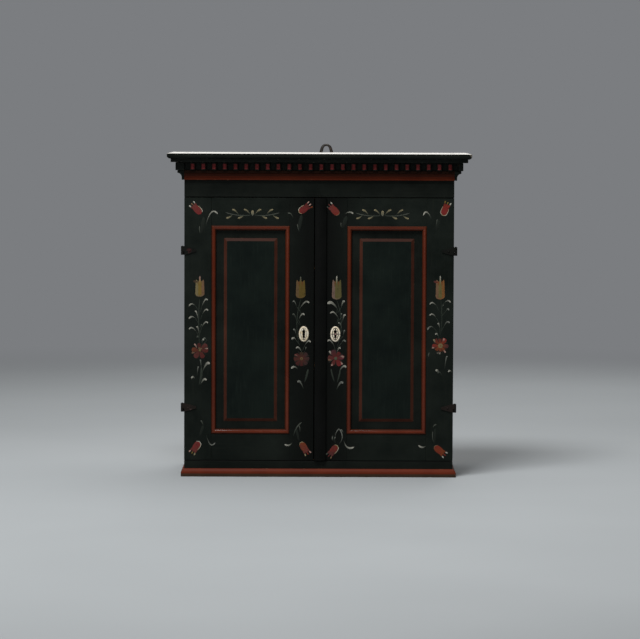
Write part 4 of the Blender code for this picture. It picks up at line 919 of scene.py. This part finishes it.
# A bud in each corner of each door points to that corner. Its base is in mm, its way in degrees. The broad
# stroke, the lines and the curl are rows for pathOf that end with a width
cornerLook = {"length": 27, "width": 17, "lineColour": "grey", "curlColour": "white"}
cornerBuds = {
    "left_upper_outer_bud": {
        "base": (-302, 675), "way": 134, "colours": ("cherry", "blush"), "tips": ("white", "sand", "white"),
        "shine": (-1,), "cap": None, "curl": (-259, 674, -278, 697, -290, 644, 3.6),
        "broad": (-295, 667, -301, 625, 9), "lines": ((-306, 643, -307, 632, -304, 624, 2),),
    },
    "left_upper_inner_bud": {
        "base": (-51, 679), "way": 36, "colours": ("cherry", "rose"), "tips": ("pink", "pink", "orange"),
        "shine": (1,), "cap": "cream", "curl": (-81, 676, -72, 681, -67, 665, 3), "curlColour": "grey",
        "broad": (-45, 673, -53, 630, 9), "lines": ((-56, 650, -55, 638, -50, 630, 2),),
    },
    "left_lower_outer_bud": {
        "base": (-306, 89), "way": 237, "colours": ("cherry", "blush"), "tips": ("cream", "ochre", "pink"),
        "shine": (1,), "cap": "white", "curl": (-265, 87, -278, 68, -288, 106, 3.2), "curlColour": "silver",
        "broad": (-296, 131, -305, 103, 7), "lines": ((-302, 144, -299, 141, -296, 132, 3),),
    },
    "left_lower_inner_bud": {
        "base": (-45, 88), "way": -58, "colours": ("orange", "blush"), "tips": ("pink", "scarlet", "cream"),
        "shine": (), "cap": "cream", "curl": (-87, 83, -75, 76, -67, 88, 4),
        "broad": (-57, 124, -50, 92, 6),
        "lines": ((-43, 140, -60, 128, -64, 104, 3), (-50, 132, -46, 124, -48, 114, 2)),
    },
    "right_upper_inner_bud": {
        "base": (49, 674), "way": 134, "colours": ("scarlet", "blush"), "tips": ("grey", "brick", "white"),
        "shine": (), "cap": "sand", "curl": (87, 676, 79, 684, 66, 676, 4),
        "broad": (70, 670, 60, 640, 10), "lines": ((56, 653, 55, 647, 57, 640, 2),),
    },
    "right_upper_outer_bud": {
        "base": (316, 673), "way": 68, "colours": ("cherry", "scarlet"), "tips": ("ochre", "ochre", "white"),
        "shine": (1, -1), "cap": "cream", "curl": (266, 672, 273, 694, 287, 664, 4),
        "broad": (305, 662, 300, 634, 9), "lines": ((302, 663, 300, 655, 299, 646, 2),),
    },
    "right_lower_inner_bud": {
        "base": (48, 80), "way": 231, "colours": ("scarlet", "brick"), "tips": ("sand", "rose", "grey"),
        "shine": (1,), "cap": "cream", "curl": (92, 77, 72, 66, 65, 94, 4.5),
        "broad": (36, 108, 44, 86, 5), "lineColour": "silver",
        "lines": ((53, 124, 70, 102, 52, 83, 2.6), (53, 124, 44, 116, 42, 100, 2),
                  (57, 122, 62, 120, 64, 112, 2), (36, 104, 35, 98, 36, 93, 2.5),
                  (43, 103, 42, 99, 42, 95, 2)),
    },
    "right_lower_outer_bud": {
        "base": (299, 79), "way": -40, "colours": ("scarlet", "orange"), "shine": (), "cap": "sand",
        "tips": ("white", "scarlet", "white"), "curl": (257, 82, 267, 72, 277, 81, 4),
        "broad": (300, 126, 298, 84, 6),
        "lines": ((303, 136, 295, 134, 294, 127, 3), (294, 118, 291, 98, 298, 88, 2)),
    },
}


def cornerBud(stroke, corner):
    # A plump bud lying along its way, with three small tips, a pale line down one or both sides and perhaps a
    # pale cap on its base. Shares are of the bud's length and width
    angle = radians(corner["way"])
    length, width = corner["length"], corner["width"]
    deep, light = corner["colours"]
    cap = corner["cap"]

    def point(along, across):
        return (corner["base"][0] + along * length * cos(angle) - across * width * sin(angle),
                corner["base"][1] + along * length * sin(angle) + across * width * cos(angle))
    stroke([point(0, 0), point(1, 0)], width, (deep, light), form="bud")
    stroke([point(0.12, -0.22), point(0.95, -0.25)], 0.42 * width, (light, deep), form="petal", layer=1)
    for across, tip in zip((0.36, 0.0, -0.36), corner["tips"]):
        stroke([point(1.13, across), point(0.75, across * 0.8)], 0.32 * width, (light, light), form="petal",
               layer=1)
        stroke([point(1.36, across * 1.3), point(1.12, across * 1.1)], 0.20 * width, (tip, tip), form="oval",
               layer=2)
    for side in corner["shine"]:
        stroke([point(0.02, 0.30 * side), point(0.25, 0.66 * side), point(0.80, 0.46 * side)], 0.10 * width,
               ("white", "cream"), form="line", layer=2)
    if cap:
        stroke([point(0.14, 0.40), point(-0.16, 0), point(0.14, -0.40)], 0.10 * width, (cap, cap),
               form="line", layer=2)


for name, corner in cornerBuds.items():
    corner = {**cornerLook, **corner}

    def drawCorner(stroke):
        broad, curl = corner["broad"], corner["curl"]
        stroke(pathOf(broad), broad[-1], ("shade", "ground"), form="petal")
        for row in corner["lines"]:
            stroke(pathOf(row), row[-1], (corner["lineColour"], "leaf"), layer=1)
        stroke(pathOf(curl), curl[-1], (corner["curlColour"], "leaf"))
        cornerBud(stroke, corner)
    motif(name, drawCorner)

# A spray of leaves on each top rail, the same to left and right of its bud
sprayLook = {"left": (-170.5, 675), "right": (162, 675), "leaves": 4, "pitch": 15, "reach": 11,
             "bud": (9, -5), "budWidth": 7, "stemEnd": (0.6, 3), "stemSag": 8, "stemRoot": (4, -3),
             "stemWidth": 1.8, "leafRoot": (6, -2), "leafLength": 1.1, "leafWidth": 4.2}
for word in ("left", "right"):
    def drawSpray(stroke):
        look = sprayLook
        x, z = look[word]
        rootX, rootZ = look["leafRoot"]
        stroke([(x, z + height) for height in look["bud"]], look["budWidth"], ("cream", "grey"), form="petal",
               layer=1)
        for side in (-1, 1):
            end = (x + side * look["pitch"] * (look["leaves"] + look["stemEnd"][0]), z + look["stemEnd"][1])
            start = (x + side * look["stemRoot"][0], z + look["stemRoot"][1])
            stroke([end, ((end[0] + x) / 2, z - look["stemSag"]), start], look["stemWidth"], ("grey", "leaf"),
                   form="line")
            for i in range(look["leaves"]):
                root = x + side * (look["pitch"] * i + rootX)
                tip = root + side * look["pitch"] * look["leafLength"]
                top = z + look["reach"] * (1 if i % 2 == 0 else -1)
                stroke([(tip, top), ((tip + root) / 2, top), (root, z + rootZ)], look["leafWidth"],
                       ("cream", "leaf"), layer=1)
    motif(word + "_rail_spray", drawSpray)
print("flowers painted")


# Studio: a round pale floor that fades, far from the piece, into a plain grey ground

studioLook = {"colour": "9b9fa1", "paler": "9fa3a5", "clouds": (800, 2), "radius": 7.0, "fade": (2.4, 4.6),
              "toneLevels": (0.3, 0.7), "roughness": 0.85, "specular": 0.1, "drop": 0.2, "segments": 96,
              "ground": "7b7d80", "world": "808080", "worldStrength": 0.5}


def studioBoard(name):
    # Matt studio board: plain pale grey with the faintest unevenness. Far off the eye sees the ground's grey
    add, shade, place = newMaterial(name)
    look = studioLook
    clouds = add("TexNoise", {"Vector": place, **spots(*look["clouds"])})
    tone = add("ValToRGB", [clouds], stops=zip(look["toneLevels"], (look["colour"], look["paler"])))
    shade({"Base Color": tone, "Roughness": look["roughness"], "Specular IOR Level": look["specular"]})
    distance = add("VectorMath", [place], "Value", operation="LENGTH")
    far = add("MapRange", [distance, *look["fade"]], interpolation_type="SMOOTHSTEP")
    seen = add("LightPath", out="Is Camera Ray")
    share = add("Math", [far, seen], operation="MULTIPLY")
    ground = add("Emission", {"Color": linear(look["ground"])})
    tree = bpy.data.materials[name].node_tree
    mixed = add("MixShader", [share, tree.nodes["Principled BSDF"].outputs["BSDF"], ground])
    setInputs(tree, tree.nodes["Material Output"], {"Surface": mixed})


studioBoard("studioBoard")
bm = bmesh.new()
bmesh.ops.create_circle(bm, cap_ends=True, segments=studioLook["segments"], radius=studioLook["radius"],
                        matrix=Matrix.Translation((0, 0, -studioLook["drop"] * mm)))
mesh = bpy.data.meshes.new("studio_floor")
bm.to_mesh(mesh)
bm.free()
mesh.materials.append(bpy.data.materials["studioBoard"])
floor = bpy.data.objects.new("studio_floor", mesh)
bpy.context.scene.collection.objects.link(floor)

# Soft boxes: place, the point each looks at, size and power in watts
softBoxes = {
    "key": ((-0.8, -1.9, 4.0), (0, -0.1, 0.45), 1.5, 190), "fill": ((-1.8, -4.0, 1.6), (0, 0, 0.4), 2.0, 20),
    "over": ((0.2, 0.7, 3.2), (0, 0, 0.8), 2.0, 30), "back": ((0.8, 3.4, 2.4), (0, 0, 0.5), 2.0, 35),
}
for name, (place, aim, size, power) in softBoxes.items():
    light = bpy.data.lights.new(name, "AREA")
    light.energy = power
    light.size = size
    lamp = bpy.data.objects.new(name, light)
    lamp.location = place
    lamp.rotation_euler = (Vector(aim) - Vector(place)).to_track_quat("-Z", "Y").to_euler()
    bpy.context.scene.collection.objects.link(lamp)

world = bpy.data.worlds.new("studioWorld")
world.use_nodes = True
tree = world.node_tree
around = tree.nodes["Background"]
setInputs(tree, around, {"Color": linear(studioLook["world"]), "Strength": studioLook["worldStrength"]})
behind = addNode(tree, "Background", {"Color": linear(studioLook["ground"])})
seen = addNode(tree, "LightPath", out="Is Camera Ray")
mixed = addNode(tree, "MixShader", [seen, around.outputs["Background"], behind])
setInputs(tree, tree.nodes["World Output"], {"Surface": mixed})
bpy.context.scene.world = world
bpy.context.scene.view_settings.view_transform = "Standard"

# Camera: far off and a little above, looking slightly down, with the faint tilt of a hand-held shot
cameraLook = {"place": (0.0, -8.127, 0.925), "lens": 175.95, "down": 3.721, "yaw": -0.021, "roll": 0.22}
camera = bpy.data.objects.new("camera", bpy.data.cameras.new("camera"))
camera.data.lens = cameraLook["lens"]
turn = Matrix.Rotation(radians(cameraLook["yaw"]), 4, "Z")
turn @= Matrix.Rotation(radians(90 - cameraLook["down"]), 4, "X")
turn @= Matrix.Rotation(radians(cameraLook["roll"]), 4, "Z")
camera.matrix_world = Matrix.Translation(cameraLook["place"]) @ turn
bpy.context.scene.collection.objects.link(camera)
bpy.context.scene.camera = camera
print("studio lit")
